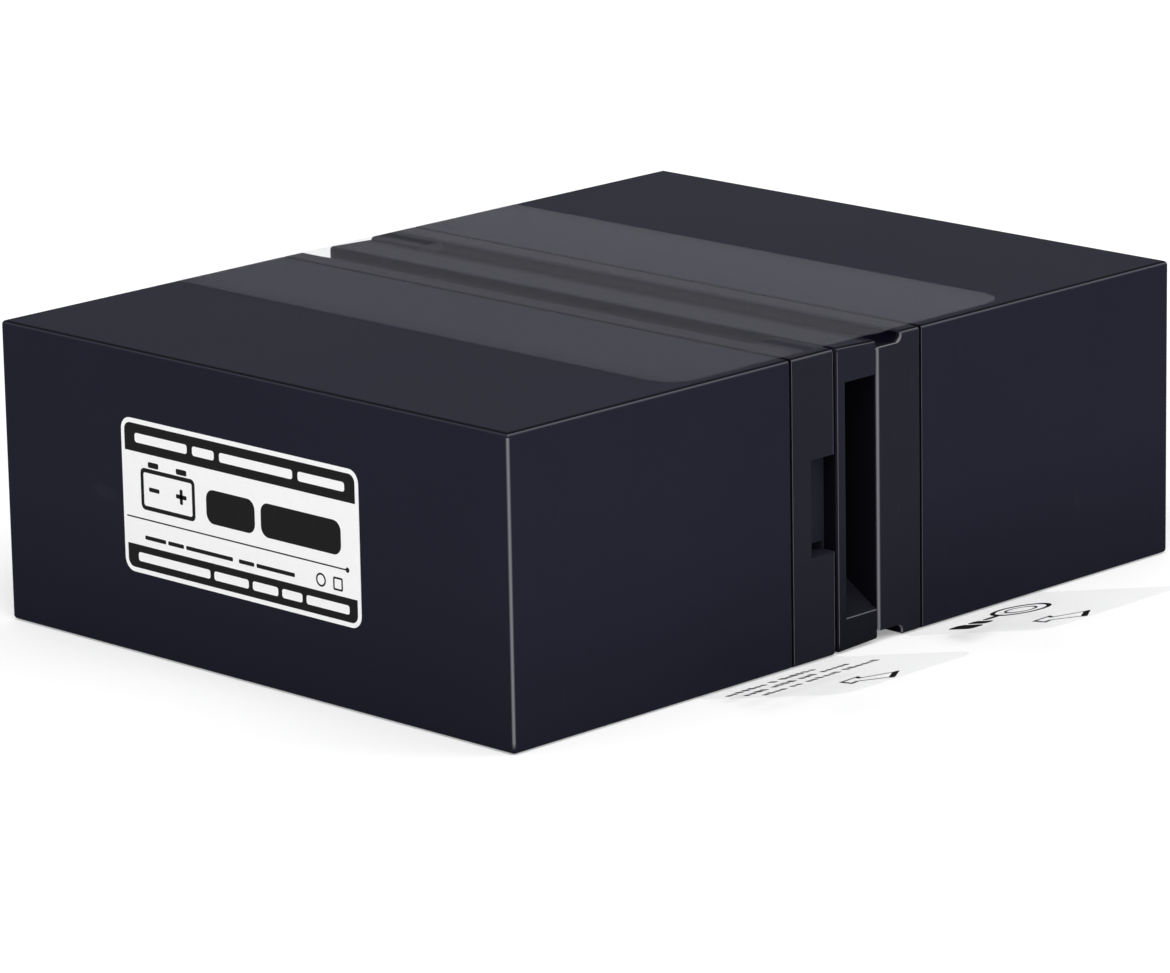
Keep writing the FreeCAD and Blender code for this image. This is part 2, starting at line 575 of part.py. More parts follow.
def makeHousing():
    body = makeBody("spine_housing")
    section = makeSketch(body, "XZ_Plane")
    addOutline(section, [("0", f"-{spineTop}"), ("spineDepth", f"spineDraft - {spineTop}"),
                         ("spineDepth", f"{spineTop} - spineDraft"), ("0", spineTop)])
    pad(body, section, "caseLength", symmetric=True)
    endFace = value(spineEnd)

    def endEdge(edge):
        box = edge.BoundBox
        return near(abs(box.YMin), endFace) and box.YLength < 1e-6 and box.ZLength < 2 and box.XLength > 1

    roundEdges(body, "edgeRadius", endEdge)
    roundEdges(body, "spineEdge", lambda edge: near(edge.BoundBox.XMax, 0))
    # Port: a mouth with ramps that lead a plug in, then a straight neck to the back wall.
    mouth = f"-{spineEnd}"
    port = makeSketch(body, "YZ_Plane", "spineWall")
    addOutline(port, [(mouth, f"-{portBottom}"), (rampEnd, f"-{neckBottom}"), (portBack, f"-{neckBottom}"),
                      (portBack, neckTop), (headEnd, neckTop), (mouth, portTop)])
    pocket(body, port, "spineDepth", reverse=True)
    # Trough for the strips, behind the port and along its top and foot.
    front = f"(frontWall - {spineEnd})"
    behind = f"({portBack} + portWall)"
    rear = f"({spineEnd} - endWall)"
    headFall = "rampRise * frontWall / headDepth"
    footClimb = "rampRise * frontWall / rampDepth"
    trough = makeSketch(body, "YZ_Plane", "spineWall")
    addOutline(trough, [(rear, rimInner), (front, rimInner),
                        (front, f"{portTop} - {headFall} + portWall"), (headEnd, f"{neckTop} + portWall"),
                        (behind, f"{neckTop} + portWall"), (behind, f"-({neckBottom} + portWall)"),
                        (rampEnd, f"-({neckBottom} + portWall)"),
                        (front, f"-({portBottom} - {footClimb} + portWall)"),
                        (front, f"-{rimInner}"), (rear, f"-{rimInner}")])
    pocket(body, trough, "spineDepth", reverse=True)
    # Ledge that the cover plate drops into.
    ledge = makeSketch(body, "YZ_Plane", "spineDepth")
    addRectangle(ledge, f"coverSetback - {spineEnd}", f"-({rimInner} + coverLedge)",
                 f"{rear} + coverLedge - fitGap", f"{rimInner} + coverLedge")
    pocket(body, ledge, "coverThick")
    # Slots for the near battery's tabs, and for the strips that pass into the port.
    entry = makeSketch(body, "YZ_Plane")
    for side in ("", "-"):
        addCentred(entry, terminalPlace, f"{side}{terminalLevel}",
                   "(tabWidth + 2 * slotPlay)", "(tabThick + 2 * slotPlay)")
    pocket(body, entry, "spineWall", reverse=True)
    for side, strip in (("", nearStrip), ("-", farStrip)):
        passage = makeSketch(body, "XZ_Plane", f"-{portBack}")
        addCentred(passage, f"({strip} + stripThick / 2)", f"{side}contactSpread / 2",
                   "(stripThick + 2 * pinPlay)", "(stripWidth + 2 * pinPlay)")
        pocket(body, passage, "portWall")
    # Bosses that carry the strips, each with a pin through the strip.
    for spots, strip in ((bossSpots["near"], nearStrip), (bossSpots["far"], farStrip)):
        boss = makeSketch(body, "YZ_Plane", "spineWall")
        pins = makeSketch(body, "YZ_Plane", "spineWall")
        for place, height in spots:
            addCircle(boss, place, height, "bossRadius")
            addCircle(pins, place, height, "pinRadius")
        pad(body, boss, f"{strip} - spineWall")
        pad(body, pins, f"{strip} - spineWall + 2 * stripThick")
    # Spacer pads that stand on the near lid's face.
    addPads(body, "0", "nearGap", True)
    seatInSpine(body)


def addPads(body, face, reach, reverse):
    pads = makeSketch(body, "YZ_Plane", face)
    for place in ("-padReach", "padReach"):
        for side in ("", "-"):
            addCircle(pads, place, f"{side}{terminalLevel}", "padRadius")
    pad(body, pads, reach, reverse=reverse)


def makeSpineCover():
    body = makeBody("spine_cover")
    foot = "(spineDepth - coverThick)"
    rear = f"({spineEnd} - endWall)"
    plate = makeSketch(body, "YZ_Plane", foot)
    addRectangle(plate, f"coverSetback - {spineEnd} + fitGap", f"fitGap - {rimInner} - coverLedge",
                 f"{rear} + coverLedge - 2 * fitGap", f"{rimInner} + coverLedge - fitGap")
    pad(body, plate, "coverThick")
    entry = makeSketch(body, "YZ_Plane", foot)
    for side in ("", "-"):
        addCentred(entry, f"-{terminalPlace}", f"{side}{terminalLevel}",
                   "(tabWidth + 2 * slotPlay)", "(tabThick + 2 * slotPlay)")
    pocket(body, entry, "coverThick", reverse=True)
    # Notch that leaves the mouth open beside its ramps.
    mouth = makeSketch(body, "YZ_Plane", foot)
    addOutline(mouth, [(f"-{spineEnd}", f"-{portBottom}"), (rampEnd, f"-{neckBottom}"),
                       (rampEnd, f"{portTop} - rampRise * rampDepth / headDepth"),
                       (f"-{spineEnd}", portTop)])
    pocket(body, mouth, "coverThick", reverse=True)
    addPads(body, "spineDepth", "farGap", False)
    seatInSpine(body)


# Places of the bosses along the spine and up it, by the plane of the strip they carry.
bossSpots = {
    "near": [(f"{terminalPlace} - bossInset", terminalLevel),
             ("turnPlace - bossBefore", terminalLevel),
             (f"{terminalPlace} - bossInset", f"-{terminalLevel}")],
    "far": [("-turnPlace - bossBeyond", f"-{terminalLevel}"),
            ("-linkTurn", "0"),
            ("-turnPlace - bossBeyond", terminalLevel)],
}


def makeStrip(label, plane, outline, holes):
    body = makeBody(label)
    sketch = makeSketch(body, "YZ_Plane", plane)
    addOutline(sketch, outline)
    for place, height in holes:
        addCircle(sketch, place, height, "pinRadius + pinPlay")
    pad(body, sketch, "stripThick")
    return body


def bent(start, turn, finish, outer, inner):
    # Outline of a strip that runs level at outer, turns upright at turn and runs level at inner.
    half = "stripWidth / 2"
    return [(start, f"{outer} - {half}"), (start, f"{outer} + {half}"),
            (f"{turn} - {half}", f"{outer} + {half}"), (f"{turn} - {half}", f"{inner} + {half}"),
            (finish, f"{inner} + {half}"), (finish, f"{inner} - {half}"),
            (f"{turn} + {half}", f"{inner} - {half}"), (f"{turn} + {half}", f"{outer} - {half}")]


def makeStrips():
    half = "stripWidth / 2"
    contact = "contactSpread / 2"
    tip = f"({portBack} - contactReach)"
    plusStart = f"({terminalPlace} + stripOver)"
    body = makeStrip("bus_plus", nearStrip, bent(plusStart, "-turnPlace", tip, terminalLevel, contact),
                     bossSpots["near"][:2])
    seatInSpine(body)
    minusStart = f"(-{terminalPlace} - stripOver)"
    minus = [(minusStart, f"-{stripUpper}"), (f"-turnPlace + {half}", f"-{stripUpper}"),
             (f"-turnPlace + {half}", f"-{contact} + {half}"), (tip, f"-{contact} + {half}"),
             (tip, f"-{contact} - {half}"), (f"-turnPlace - {half}", f"-{contact} - {half}"),
             (f"-turnPlace - {half}", f"-{stripLower}"), (minusStart, f"-{stripLower}")]
    body = makeStrip("bus_minus", farStrip, minus, bossSpots["far"][:1])
    seatInSpine(body)
    # The series link starts in the near plane, steps down to the far plane and climbs across.
    # Its far end tapers over the ramp at the port's head.
    foot = [("linkJog", f"-{stripUpper}"), (plusStart, f"-{stripUpper}"),
            (plusStart, f"-{stripLower}"), ("linkJog", f"-{stripLower}")]
    body = makeStrip("series_link", nearStrip, foot, bossSpots["near"][2:])
    jog = makeSketch(body, "YZ_Plane", farStrip)
    addRectangle(jog, "linkJog - stripThick", f"-{stripUpper}", "linkJog", f"-{stripLower}")
    pad(body, jog, f"{nearStrip} + stripThick - {farStrip}")
    climb = makeSketch(body, "YZ_Plane", farStrip)
    addOutline(climb, [
        ("linkJog - stripThick", f"-{stripUpper}"),
        ("linkJog - stripThick", f"-{stripLower}"),
        (f"-linkTurn + {half}", f"-{stripLower}"),
        (f"-linkTurn + {half}", stripUpper),
        (minusStart, stripUpper),
        (minusStart, terminalLevel),
        (headEnd, stripLower),
        (f"-linkTurn - {half}", stripLower),
        (f"-linkTurn - {half}", f"-{stripUpper}"),
    ])
    for place, height in bossSpots["far"][1:]:
        addCircle(climb, place, height, "pinRadius + pinPlay")
    pad(body, climb, "stripThick")
    seatInSpine(body)


def makeReceptacles():
    # Rolled push-on sockets: a floor under the tab, two side walls and two lips over it.
    body = makeBody("tab_receptacles")
    pads = []
    for direction, plane, end in (
            ("", "(spineWall + slotPlay)", nearStrip),
            ("-", f"({farStrip} + stripThick)", "(spineDepth - coverThick - slotPlay)")):
        middle = f"({direction}{terminalPlace})"
        low = f"({terminalLevel} - tabThick / 2)"
        high = f"({terminalLevel} + tabThick / 2)"
        side = "(socketWidth / 2)"
        profile = makeSketch(body, "YZ_Plane", plane)
        addOutline(profile, [
            (f"{middle} - {side}", f"{low} - socketWall"),
            (f"{middle} + {side}", f"{low} - socketWall"),
            (f"{middle} + {side}", f"{high} + socketWall"),
            (f"{middle} + {side} - lipWidth", f"{high} + socketWall"),
            (f"{middle} + {side} - lipWidth", high),
            (f"{middle} + {side} - socketWall", high),
            (f"{middle} + {side} - socketWall", low),
            (f"{middle} - {side} + socketWall", low),
            (f"{middle} - {side} + socketWall", high),
            (f"{middle} - {side} + lipWidth", high),
            (f"{middle} - {side} + lipWidth", f"{high} + socketWall"),
            (f"{middle} - {side}", f"{high} + socketWall"),
        ])
        pads.append(pad(body, profile, f"{end} - {plane}"))
    mirror = body.newObject("PartDesign::Mirrored", "tab_receptacles_mirror")
    mirror.Originals = pads
    mirror.MirrorPlane = (originPlane(body, "XY_Plane"), [""])
    body.Tip = mirror
    seatInSpine(body)


def makeTopFilm():
    body = makeBody("top_film")
    foot = "(filmThick + caseWidth)"
    front = "(filmInset - caseLength / 2)"
    rear = "(caseLength / 2 + filmThick)"
    over = makeSketch(body, "XY_Plane", foot)
    addRectangle(over, "-filmWidth / 2", front, "filmWidth / 2", rear)
    pad(body, over, "filmThick")
    frontPlace = value(front)

    def frontCorner(edge):
        return runsAlong(edge, "z") and near(edge.BoundBox.YMax, frontPlace)

    roundEdges(body, "filmCorner", frontCorner)
    flap = makeSketch(body, "XZ_Plane", f"-{rear}")
    addRectangle(flap, "-filmWidth / 2", f"{foot} - flapHeight", "filmWidth / 2", f"{foot} + filmThick")
    pad(body, flap, "filmThick")
    roundFold(body, value(foot), value(rear))
    parts.append(body)


def roundFold(body, level, rear):
    # Wraps the film round the case's rounded rear edge: inside first, then outside.
    inside = (rear - value("filmThick"), level)
    roundEdges(body, "edgeRadius", lambda edge: onFold(edge, inside))
    outward = value("filmThick") if level > value("filmThick") else -value("filmThick")
    outside = (rear, level + outward)
    roundEdges(body, "edgeRadius + filmThick", lambda edge: onFold(edge, outside))


def onFold(edge, place):
    box = edge.BoundBox
    return runsAlong(edge, "x") and near(box.YMin, place[0]) and near(box.ZMin, place[1])


def makePullFilm():
    body = makeBody("pull_film")
    front = "(-caseLength / 2)"
    rear = "(caseLength / 2 + filmThick)"
    under = makeSketch(body, "XY_Plane")
    addOutline(under, [("-pullLeft", front), ("nearTabWidth - pullLeft", front),
                       ("nearTabWidth - pullLeft", f"{front} + pullSlit"),
                       ("pullRight - farTabWidth", f"{front} + pullSlit"),
                       ("pullRight - farTabWidth", front), ("pullRight", front),
                       ("pullRight", rear), ("-pullLeft", rear)])
    pad(body, under, "filmThick")
    flap = makeSketch(body, "XZ_Plane", f"-{rear}")
    addRectangle(flap, "-pullLeft", "0", "pullRight", "filmThick + flapHeight")
    pad(body, flap, "filmThick")
    roundFold(body, value("filmThick"), value(rear))
    tabs = [addPullTab(body, "-pullLeft", "nearTabWidth"),
            addPullTab(body, "pullRight - farTabWidth", "farTabWidth")]
    body.Tip = tabs[-1]
    doc.recompute()
    tip = body.Shape.BoundBox.YMin

    def tipCorner(edge):
        box = edge.BoundBox
        return box.XLength < 1e-6 and box.YMin < tip + 0.5 and edge.Length < 2 * value("filmThick")

    roundEdges(body, "pullCorner", tipCorner)
    parts.append(body)


def addPullTab(body, left, width):
    # Side view of a tab: a short bend at the pack's edge, then a straight rise.
    start = "(-caseLength / 2)"
    inner = "(pullBend - filmThick)"
    turnOut = f"{start} - pullBend * sin(pullAngle)"
    turnUp = "pullBend * (1 - cos(pullAngle))"
    tipOut = f"{turnOut} - pullRun * cos(pullAngle)"
    tipUp = f"{turnUp} + pullRun * sin(pullAngle)"
    sketch = makeSketch(body, "YZ_Plane", left)
    addOutline(sketch, [
        (start, "0", (start, "pullBend")),
        (turnOut, turnUp),
        (tipOut, tipUp),
        (f"{tipOut} + filmThick * sin(pullAngle)", f"{tipUp} + filmThick * cos(pullAngle)"),
        (f"{start} - {inner} * sin(pullAngle)", f"pullBend - {inner} * cos(pullAngle)",
         (start, "pullBend")),
        (start, "filmThick"),
    ])
    return pad(body, sketch, width)


def makeLabel():
    body = makeBody("label")
    face = f"(-{faceGap} / 2 - batteryHeight)"
    outline = makeSketch(body, "YZ_Plane", face)
    addCentred(outline, "labelShift", f"({packMiddle} + labelRaise)", "labelWidth", "labelHeight")
    pad(body, outline, "labelThick", reverse=True)
    roundEdges(body, "labelCorner", lambda edge: runsAlong(edge, "x"))
    parts.append(body)


for end in ("near", "far"):
    makeContainer(end)
    makeLid(end)
    makeVentCover(end)
    makeVentCaps(end)
    for pole in ("plus", "minus"):
        makeTerminal(end, pole)
        makeSeal(end, pole)
        makePlates(end, pole)
    makeSeparators(end)
    makeCellStraps(end)
makeHousing()
makeSpineCover()
makeStrips()
makeReceptacles()
makeTopFilm()
makePullFilm()
makeLabel()
doc.recompute()

for item in doc.Objects:
    if "Invalid" in item.State or "Error" in item.State:
        raise RuntimeError(f"{item.Label} failed: {item.State}")
for body in parts:
    if body.Shape.isNull() or not body.Shape.isValid() or not body.Shape.Solids:
        raise RuntimeError(f"{body.Label} has no valid shape")
for body in parts:
    body.Shape.exportStep(f"parts/{body.Label}.step")
    box = body.Shape.BoundBox
    print(body.Label, len(body.Shape.Solids), round(body.Shape.Volume, 1),
          [round(number, 2) for number in (box.XMin, box.XMax, box.YMin, box.YMax, box.ZMin, box.ZMax)])
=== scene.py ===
import json
import math
import random
import bpy
import bmesh
from mathutils import Matrix, Quaternion, Vector


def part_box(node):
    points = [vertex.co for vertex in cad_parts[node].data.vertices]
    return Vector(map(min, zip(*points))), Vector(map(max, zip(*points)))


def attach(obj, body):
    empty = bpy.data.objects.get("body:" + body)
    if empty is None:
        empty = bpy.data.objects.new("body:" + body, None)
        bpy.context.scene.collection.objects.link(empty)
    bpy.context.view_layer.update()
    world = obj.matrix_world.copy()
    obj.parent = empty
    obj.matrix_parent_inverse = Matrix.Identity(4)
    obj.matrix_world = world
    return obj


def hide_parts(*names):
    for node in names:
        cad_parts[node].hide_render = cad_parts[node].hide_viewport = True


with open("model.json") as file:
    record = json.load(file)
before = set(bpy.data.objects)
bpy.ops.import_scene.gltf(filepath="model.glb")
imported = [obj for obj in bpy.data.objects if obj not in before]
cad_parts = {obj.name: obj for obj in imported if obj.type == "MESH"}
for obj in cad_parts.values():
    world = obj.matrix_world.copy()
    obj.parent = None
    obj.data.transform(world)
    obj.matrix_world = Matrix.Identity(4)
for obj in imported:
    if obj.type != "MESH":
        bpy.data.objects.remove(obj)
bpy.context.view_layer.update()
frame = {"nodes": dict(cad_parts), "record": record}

mm = 0.001
random.seed(11)


# Small helpers for shader trees.

def newTree(name, inputs, outputs):
    tree = bpy.data.node_groups.new(name, "ShaderNodeTree")
    for label, kind, value in inputs:
        socket = tree.interface.new_socket(label, in_out="INPUT", socket_type="NodeSocket" + kind)
        if value is not None:
            socket.default_value = value
    for label, kind in outputs:
        tree.interface.new_socket(label, in_out="OUTPUT", socket_type="NodeSocket" + kind)
    return tree, tree.nodes.new("NodeGroupInput"), tree.nodes.new("NodeGroupOutput")


def addNode(tree, kind, inputs=None, **settings):
    node = tree.nodes.new("ShaderNode" + kind)
    for name, setting in settings.items():
        setattr(node, name, setting)
    for key, value in (inputs or {}).items():
        if isinstance(value, bpy.types.NodeSocket):
            tree.links.new(value, node.inputs[key])
        else:
            node.inputs[key].default_value = value
    return node


def addMath(tree, operation, first, second=0.0):
    return addNode(tree, "Math", {0: first, 1: second}, operation=operation).outputs[0]


def remap(tree, value, low, high, toLow=0.0, toHigh=1.0):
    return addNode(tree, "MapRange", {"Value": value, "From Min": low, "From Max": high,
                                      "To Min": toLow, "To Max": toHigh}).outputs["Result"]


def mixColour(tree, factor, first, second):
    node = addNode(tree, "Mix", data_type="RGBA")
    for index, value in ((0, factor), (6, first), (7, second)):
        if isinstance(value, bpy.types.NodeSocket):
            tree.links.new(value, node.inputs[index])
        else:
            node.inputs[index].default_value = value
    return node.outputs[2]


def grey(level, blue=1.0):
    return (level, level, level * blue, 1.0)


def seenDirectly(tree):
    # One for rays that reach the eye straight, by a reflection or through the films.
    ray = addNode(tree, "LightPath").outputs
    seen = addMath(tree, "MAXIMUM", ray["Is Camera Ray"], ray["Is Glossy Ray"])
    return addMath(tree, "MAXIMUM", seen, ray["Is Transmission Ray"])


# Effects that several finishes share.

skinLook = {
    "grain": {"Detail": 3.0, "Roughness": 0.6},
    "cloud": {"Detail": 4.0, "Roughness": 0.55},
    "cloudRange": (0.32, 0.68),
    "scratchTurn": (0.4, 0.9, 0.5),
    "scratchScale": (900.0, 60.0, 110.0),
    "scratchRange": (0.70, 0.76),
    "patchScale": 31.0,
    "patchRange": (0.52, 0.66),
}


def makeMouldedSkin():
    tree, given, put = newTree("mouldedSkin",
                               [("Grain Scale", "Float", 1400.0), ("Cloud Scale", "Float", 14.0)],
                               [("Height", "Float"), ("Cloud", "Float"), ("Marks", "Float")])
    place = addNode(tree, "TexCoord").outputs["Object"]
    grain = addNode(tree, "TexNoise", {"Vector": place, "Scale": given.outputs["Grain Scale"],
                                       **skinLook["grain"]})
    cloud = addNode(tree, "TexNoise", {"Vector": place, "Scale": given.outputs["Cloud Scale"],
                                       **skinLook["cloud"]})
    stretched = addNode(tree, "Mapping", {"Vector": place, "Rotation": skinLook["scratchTurn"],
                                          "Scale": skinLook["scratchScale"]})
    scratch = addNode(tree, "TexNoise", {"Vector": stretched.outputs[0], "Scale": 1.0, "Detail": 1.0})
    patch = addNode(tree, "TexNoise", {"Vector": place, "Scale": skinLook["patchScale"], "Detail": 2.0})
    scratches = remap(tree, scratch.outputs[0], *skinLook["scratchRange"])
    patches = remap(tree, patch.outputs[0], *skinLook["patchRange"])
    tree.links.new(grain.outputs[0], put.inputs["Height"])
    tree.links.new(remap(tree, cloud.outputs[0], *skinLook["cloudRange"]), put.inputs["Cloud"])
    tree.links.new(addMath(tree, "MULTIPLY", scratches, patches), put.inputs["Marks"])
    return tree


convexFrom = 0.5005          # pointiness of an outer edge


def makeEdgeHighlight():
    # Finds rounded outer edges for a painted highlight: there the surface faces none of the three main
    # directions squarely.
    tree, given, put = newTree("edgeRub", [("Start", "Float", 0.03), ("Full", "Float", 0.2)],
                               [("Mask", "Float")])
    surface = addNode(tree, "NewGeometry")
    size = addNode(tree, "VectorMath", {0: surface.outputs["Normal"]}, operation="ABSOLUTE").outputs[0]
    parts = addNode(tree, "SeparateXYZ", {0: size})
    most = addMath(tree, "MAXIMUM", parts.outputs[0], parts.outputs[1])
    most = addMath(tree, "MAXIMUM", most, parts.outputs[2])
    turned = addMath(tree, "SUBTRACT", 1.0, most)
    rounded = remap(tree, turned, given.outputs["Start"], given.outputs["Full"])
    outer = addMath(tree, "GREATER_THAN", surface.outputs["Pointiness"], convexFrom)
    tree.links.new(addMath(tree, "MULTIPLY", rounded, outer), put.inputs["Mask"])
    return tree


packPlaces = {               # millimetres from the pack's middle planes
    "halfLength": 100.5,
    "topLevel": 31.6,        # just under the top face
    "roundingLevel": 31.3,   # foot of the top edges' rounding
    "seam": 19.365,          # groove between a lid and its case
    "stepLow": 30.2,         # a lid's open step beside the spine
    "stepHigh": 32.25,
    "floorLow": 29.7,
    "floorHigh": 30.5,
    "stepReach": 14.03,
    "spineReach": 6.55,
    "ledgeReach": 6.75,
    "nearLedge": 5.45,       # shaded ledges along the spine's top
    "farLedge": 3.95,
    "coreHeight": 29.6,      # the spine's inside
}
packWidths = {               # millimetres
    "groove": 0.87,
    "seamBeside": 0.3,
    "stepFade": (0.6, 1.8),  # the step's shade grows with the distance from the pack's ends
    "outline": 0.6,          # painted highlight along the open end of a step
    "rim": 1.2,              # dark line inside a top edge
    "sill": 0.22,            # painted highlight line at the foot of the port
}
facingBounds = {             # parts of the surface's direction
    "upright": 0.4,
    "flat": 0.9,
    "ramp": (0.6, 0.95),
    "rim": 0.75,
    "endFace": 0.5,
    "rounding": (0.04, 0.99),
    "litRounding": (0.35, 0.75),
}
edgeShares = {"end": 0.42, "side": 0.12}     # how much painted highlight the top edges get beside the upright ones
zoneNames = ("Seam Rim", "Seam", "Step", "Core", "Sill", "Outline", "Top Rim", "Ends", "Edge Share",
             "Height")


def makePackZones():
    # Masks for places of the pack, from the distances to its middle planes.
    tree, given, put = newTree("packZones", [("Rim", "Float", 0.12 * mm), ("End", "Float", 0.8 * mm)],
                               [(name, "Float") for name in zoneNames])

    def less(value, most):
        return addMath(tree, "LESS_THAN", value, most)

    def more(value, least):
        return addMath(tree, "GREATER_THAN", value, least)

    def absolute(value):
        return addMath(tree, "ABSOLUTE", value)

    def without(mask):
        return addMath(tree, "SUBTRACT", 1.0, mask)

    def either(first, second):
        return addMath(tree, "MAXIMUM", first, second)

    def every(first, *others):
        for mask in others:
            first = addMath(tree, "MULTIPLY", first, mask)
        return first

    def between(value, least, most):
        return every(more(value, least), less(value, most))

    at = {name: value * mm for name, value in packPlaces.items()}
    low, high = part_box("container_far")
    middle = (0.0, (low.y + high.y) / 2, (low.z + high.z) / 2)
    place = addNode(tree, "TexCoord").outputs["Object"]
    away = addNode(tree, "VectorMath", {0: place, 1: middle}, operation="SUBTRACT").outputs[0]
    side = addNode(tree, "SeparateXYZ", {0: away}).outputs[0]
    away = addNode(tree, "VectorMath", {0: away}, operation="ABSOLUTE").outputs[0]
    x, y, z = addNode(tree, "SeparateXYZ", {0: away}).outputs
    facing = addNode(tree, "SeparateXYZ", {0: addNode(tree, "NewGeometry").outputs["Normal"]}).outputs
    inwards = addMath(tree, "SUBTRACT", (high.y - low.y) / 2, y)
    fromSide = addMath(tree, "SUBTRACT", at["halfLength"], x)
    ends = less(inwards, given.outputs["End"])
    flat = more(facing[2], facingBounds["flat"])
    atTop = more(z, at["topLevel"])

    # The groove between a lid and its case, with a painted highlight on its rim, and painted shade inside
    # it and in the lines beside it on top.
    seamEnd = at["seam"] + packWidths["groove"] * mm
    beside = packWidths["seamBeside"] * mm
    seam = between(x, at["seam"], seamEnd)
    besideSeam = every(flat, atTop, between(x, at["seam"] - beside, seamEnd + beside))

    # The open steps beside the spine, and the ledges along the spine's top.
    inStep = between(x, at["spineReach"], at["stepReach"])
    upright = more(absolute(facing[0]), facingBounds["upright"])
    wall = every(between(z, at["stepLow"], at["stepHigh"]), upright, less(x, at["stepReach"]))
    floor = every(between(z, at["floorLow"], at["floorHigh"]), flat, inStep)
    fade = remap(tree, inwards, *(width * mm for width in packWidths["stepFade"]))
    ledges = every(either(more(side, at["farLedge"]), less(side, -at["nearLedge"])), flat,
                   more(z, at["stepLow"]), less(x, at["ledgeReach"]))
    step = either(every(either(wall, floor), fade), ledges)
    outline = every(inStep, between(z, at["floorLow"], at["stepHigh"]),
                    less(absolute(facing[1]), facingBounds["endFace"]),
                    less(inwards, packWidths["outline"] * mm))

    # The inside of the spine, which gets painted shade, and a painted highlight line at the port's foot.
    inSpine = less(x, at["spineReach"])
    ramp = between(facing[2], *facingBounds["ramp"])
    core = every(inSpine, without(ends), less(z, at["coreHeight"]), without(ramp))
    sill = every(ramp, inSpine, less(inwards, packWidths["sill"] * mm))

    # The edges of the top: a dark line inside them, and less painted highlight than on the upright edges.
    nearest = addMath(tree, "MINIMUM", inwards, fromSide)
    topRim = every(more(facing[2], facingBounds["rim"]), atTop, less(nearest, packWidths["rim"] * mm))
    onEdge = every(between(facing[2], *facingBounds["rounding"]), more(z, at["roundingLevel"]))
    sideways = more(absolute(facing[0]), absolute(facing[1]))
    share = remap(tree, sideways, 0.0, 1.0, edgeShares["end"], edgeShares["side"])
    unlit = without(every(between(facing[2], *facingBounds["litRounding"]), share))

    height = addNode(tree, "SeparateXYZ", {0: place}).outputs[2]
    masks = (every(seam, less(inwards, given.outputs["Rim"])), either(seam, besideSeam), step, core, sill,
             outline, topRim, ends, without(every(onEdge, unlit)), height)
    for name, mask in zip(zoneNames, masks):
        tree.links.new(mask, put.inputs[name])
    return tree


def makeSpeckle():
    tree, given, put = newTree("speckle",
                               [("Scale", "Float", 300.0), ("Contrast", "Float", 0.2)],
                               [("Mask", "Float"), ("Height", "Float")])
    place = addNode(tree, "TexCoord").outputs["Object"]
    noise = addNode(tree, "TexNoise", {"Vector": place, "Scale": given.outputs["Scale"],
                                       "Detail": 4.0, "Roughness": 0.65}).outputs[0]
    low = addMath(tree, "SUBTRACT", 0.5, given.outputs["Contrast"])
    high = addMath(tree, "ADD", 0.5, given.outputs["Contrast"])
    tree.links.new(remap(tree, noise, low, high), put.inputs["Mask"])
    tree.links.new(noise, put.inputs["Height"])
    return tree


mouldedSkin = makeMouldedSkin()
edgeRub = makeEdgeHighlight()
packZones = makePackZones()
speckle = makeSpeckle()
print("shared effects ready")


def newMaterial(name):
    material = bpy.data.materials.new(name)
    material.use_nodes = True
    tree = material.node_tree
    tree.nodes.clear()
    shader = tree.nodes.new("ShaderNodeBsdfPrincipled")
    output = tree.nodes.new("ShaderNodeOutputMaterial")
    tree.links.new(shader.outputs[0], output.inputs["Surface"])
    return material, tree, shader


def placeGroup(tree, group, values=None):
    node = tree.nodes.new("ShaderNodeGroup")
    node.node_tree = group
    for name, value in (values or {}).items():
        node.inputs[name].default_value = value
    return node


def feed(tree, shader, **sources):
    names = {"colour": "Base Color", "roughness": "Roughness", "normal": "Normal"}
    for key, source in sources.items():
        tree.links.new(source, shader.inputs[names[key]])


plasticLooks = {
    # The edge colour is a painted highlight on rounded edges, and faint scratches take it too. The last
    # pair tells how far an edge's rounding has turned where its painted highlight starts, and where it is
    # full.
    "casePlastic": {"dark": (0.0154, 0.0154, 0.0263, 1), "light": (0.0168, 0.0168, 0.0286, 1),
                    "edge": (0.17, 0.17, 0.185, 1), "foot": (0.0118, 0.0118, 0.0205, 1),
                    "shaded": ("Seam",), "worn": ("Seam Rim",), "endsOnly": False,
                    "rub": (0.03, 0.20)},
    "lidPlastic": {"dark": (0.0171, 0.0171, 0.0254, 1), "light": (0.0185, 0.0185, 0.0274, 1),
                   "edge": (0.19, 0.19, 0.205, 1), "foot": (0.0130, 0.0130, 0.0195, 1),
                   "shaded": ("Seam", "Core"), "worn": ("Seam Rim", "Outline"), "endsOnly": True,
                   "rub": (0.03, 0.20)},
    "spinePlastic": {"dark": (0.0164, 0.0164, 0.0254, 1), "light": (0.0176, 0.0176, 0.0270, 1),
                     "edge": (0.13, 0.13, 0.140, 1), "foot": (0.0072, 0.0077, 0.0102, 1),
                     "shaded": ("Core",), "worn": ("Sill",), "endsOnly": True,
                     "rub": (0.16, 0.28)},
}
plasticCommon = {
    "grainScale": 1500.0,
    "grainDepth": 0.012,     # millimetres
    "sheen": (0.48, 0.52),   # roughness
    "specular": 0.006,
    "footFade": 30.0,        # height in millimetres over which the foot's colour ends
    "rubFrom": (1.2, 2.6),   # height in millimetres above which edges get their painted highlight
    "shade": (0.0048, 0.0044, 0.0072, 1),
    "stepShade": (0.0026, 0.0023, 0.0066, 1),
    "rimShare": 0.85,
    "markShare": 0.03,
    "bumpStrength": 0.35,
}


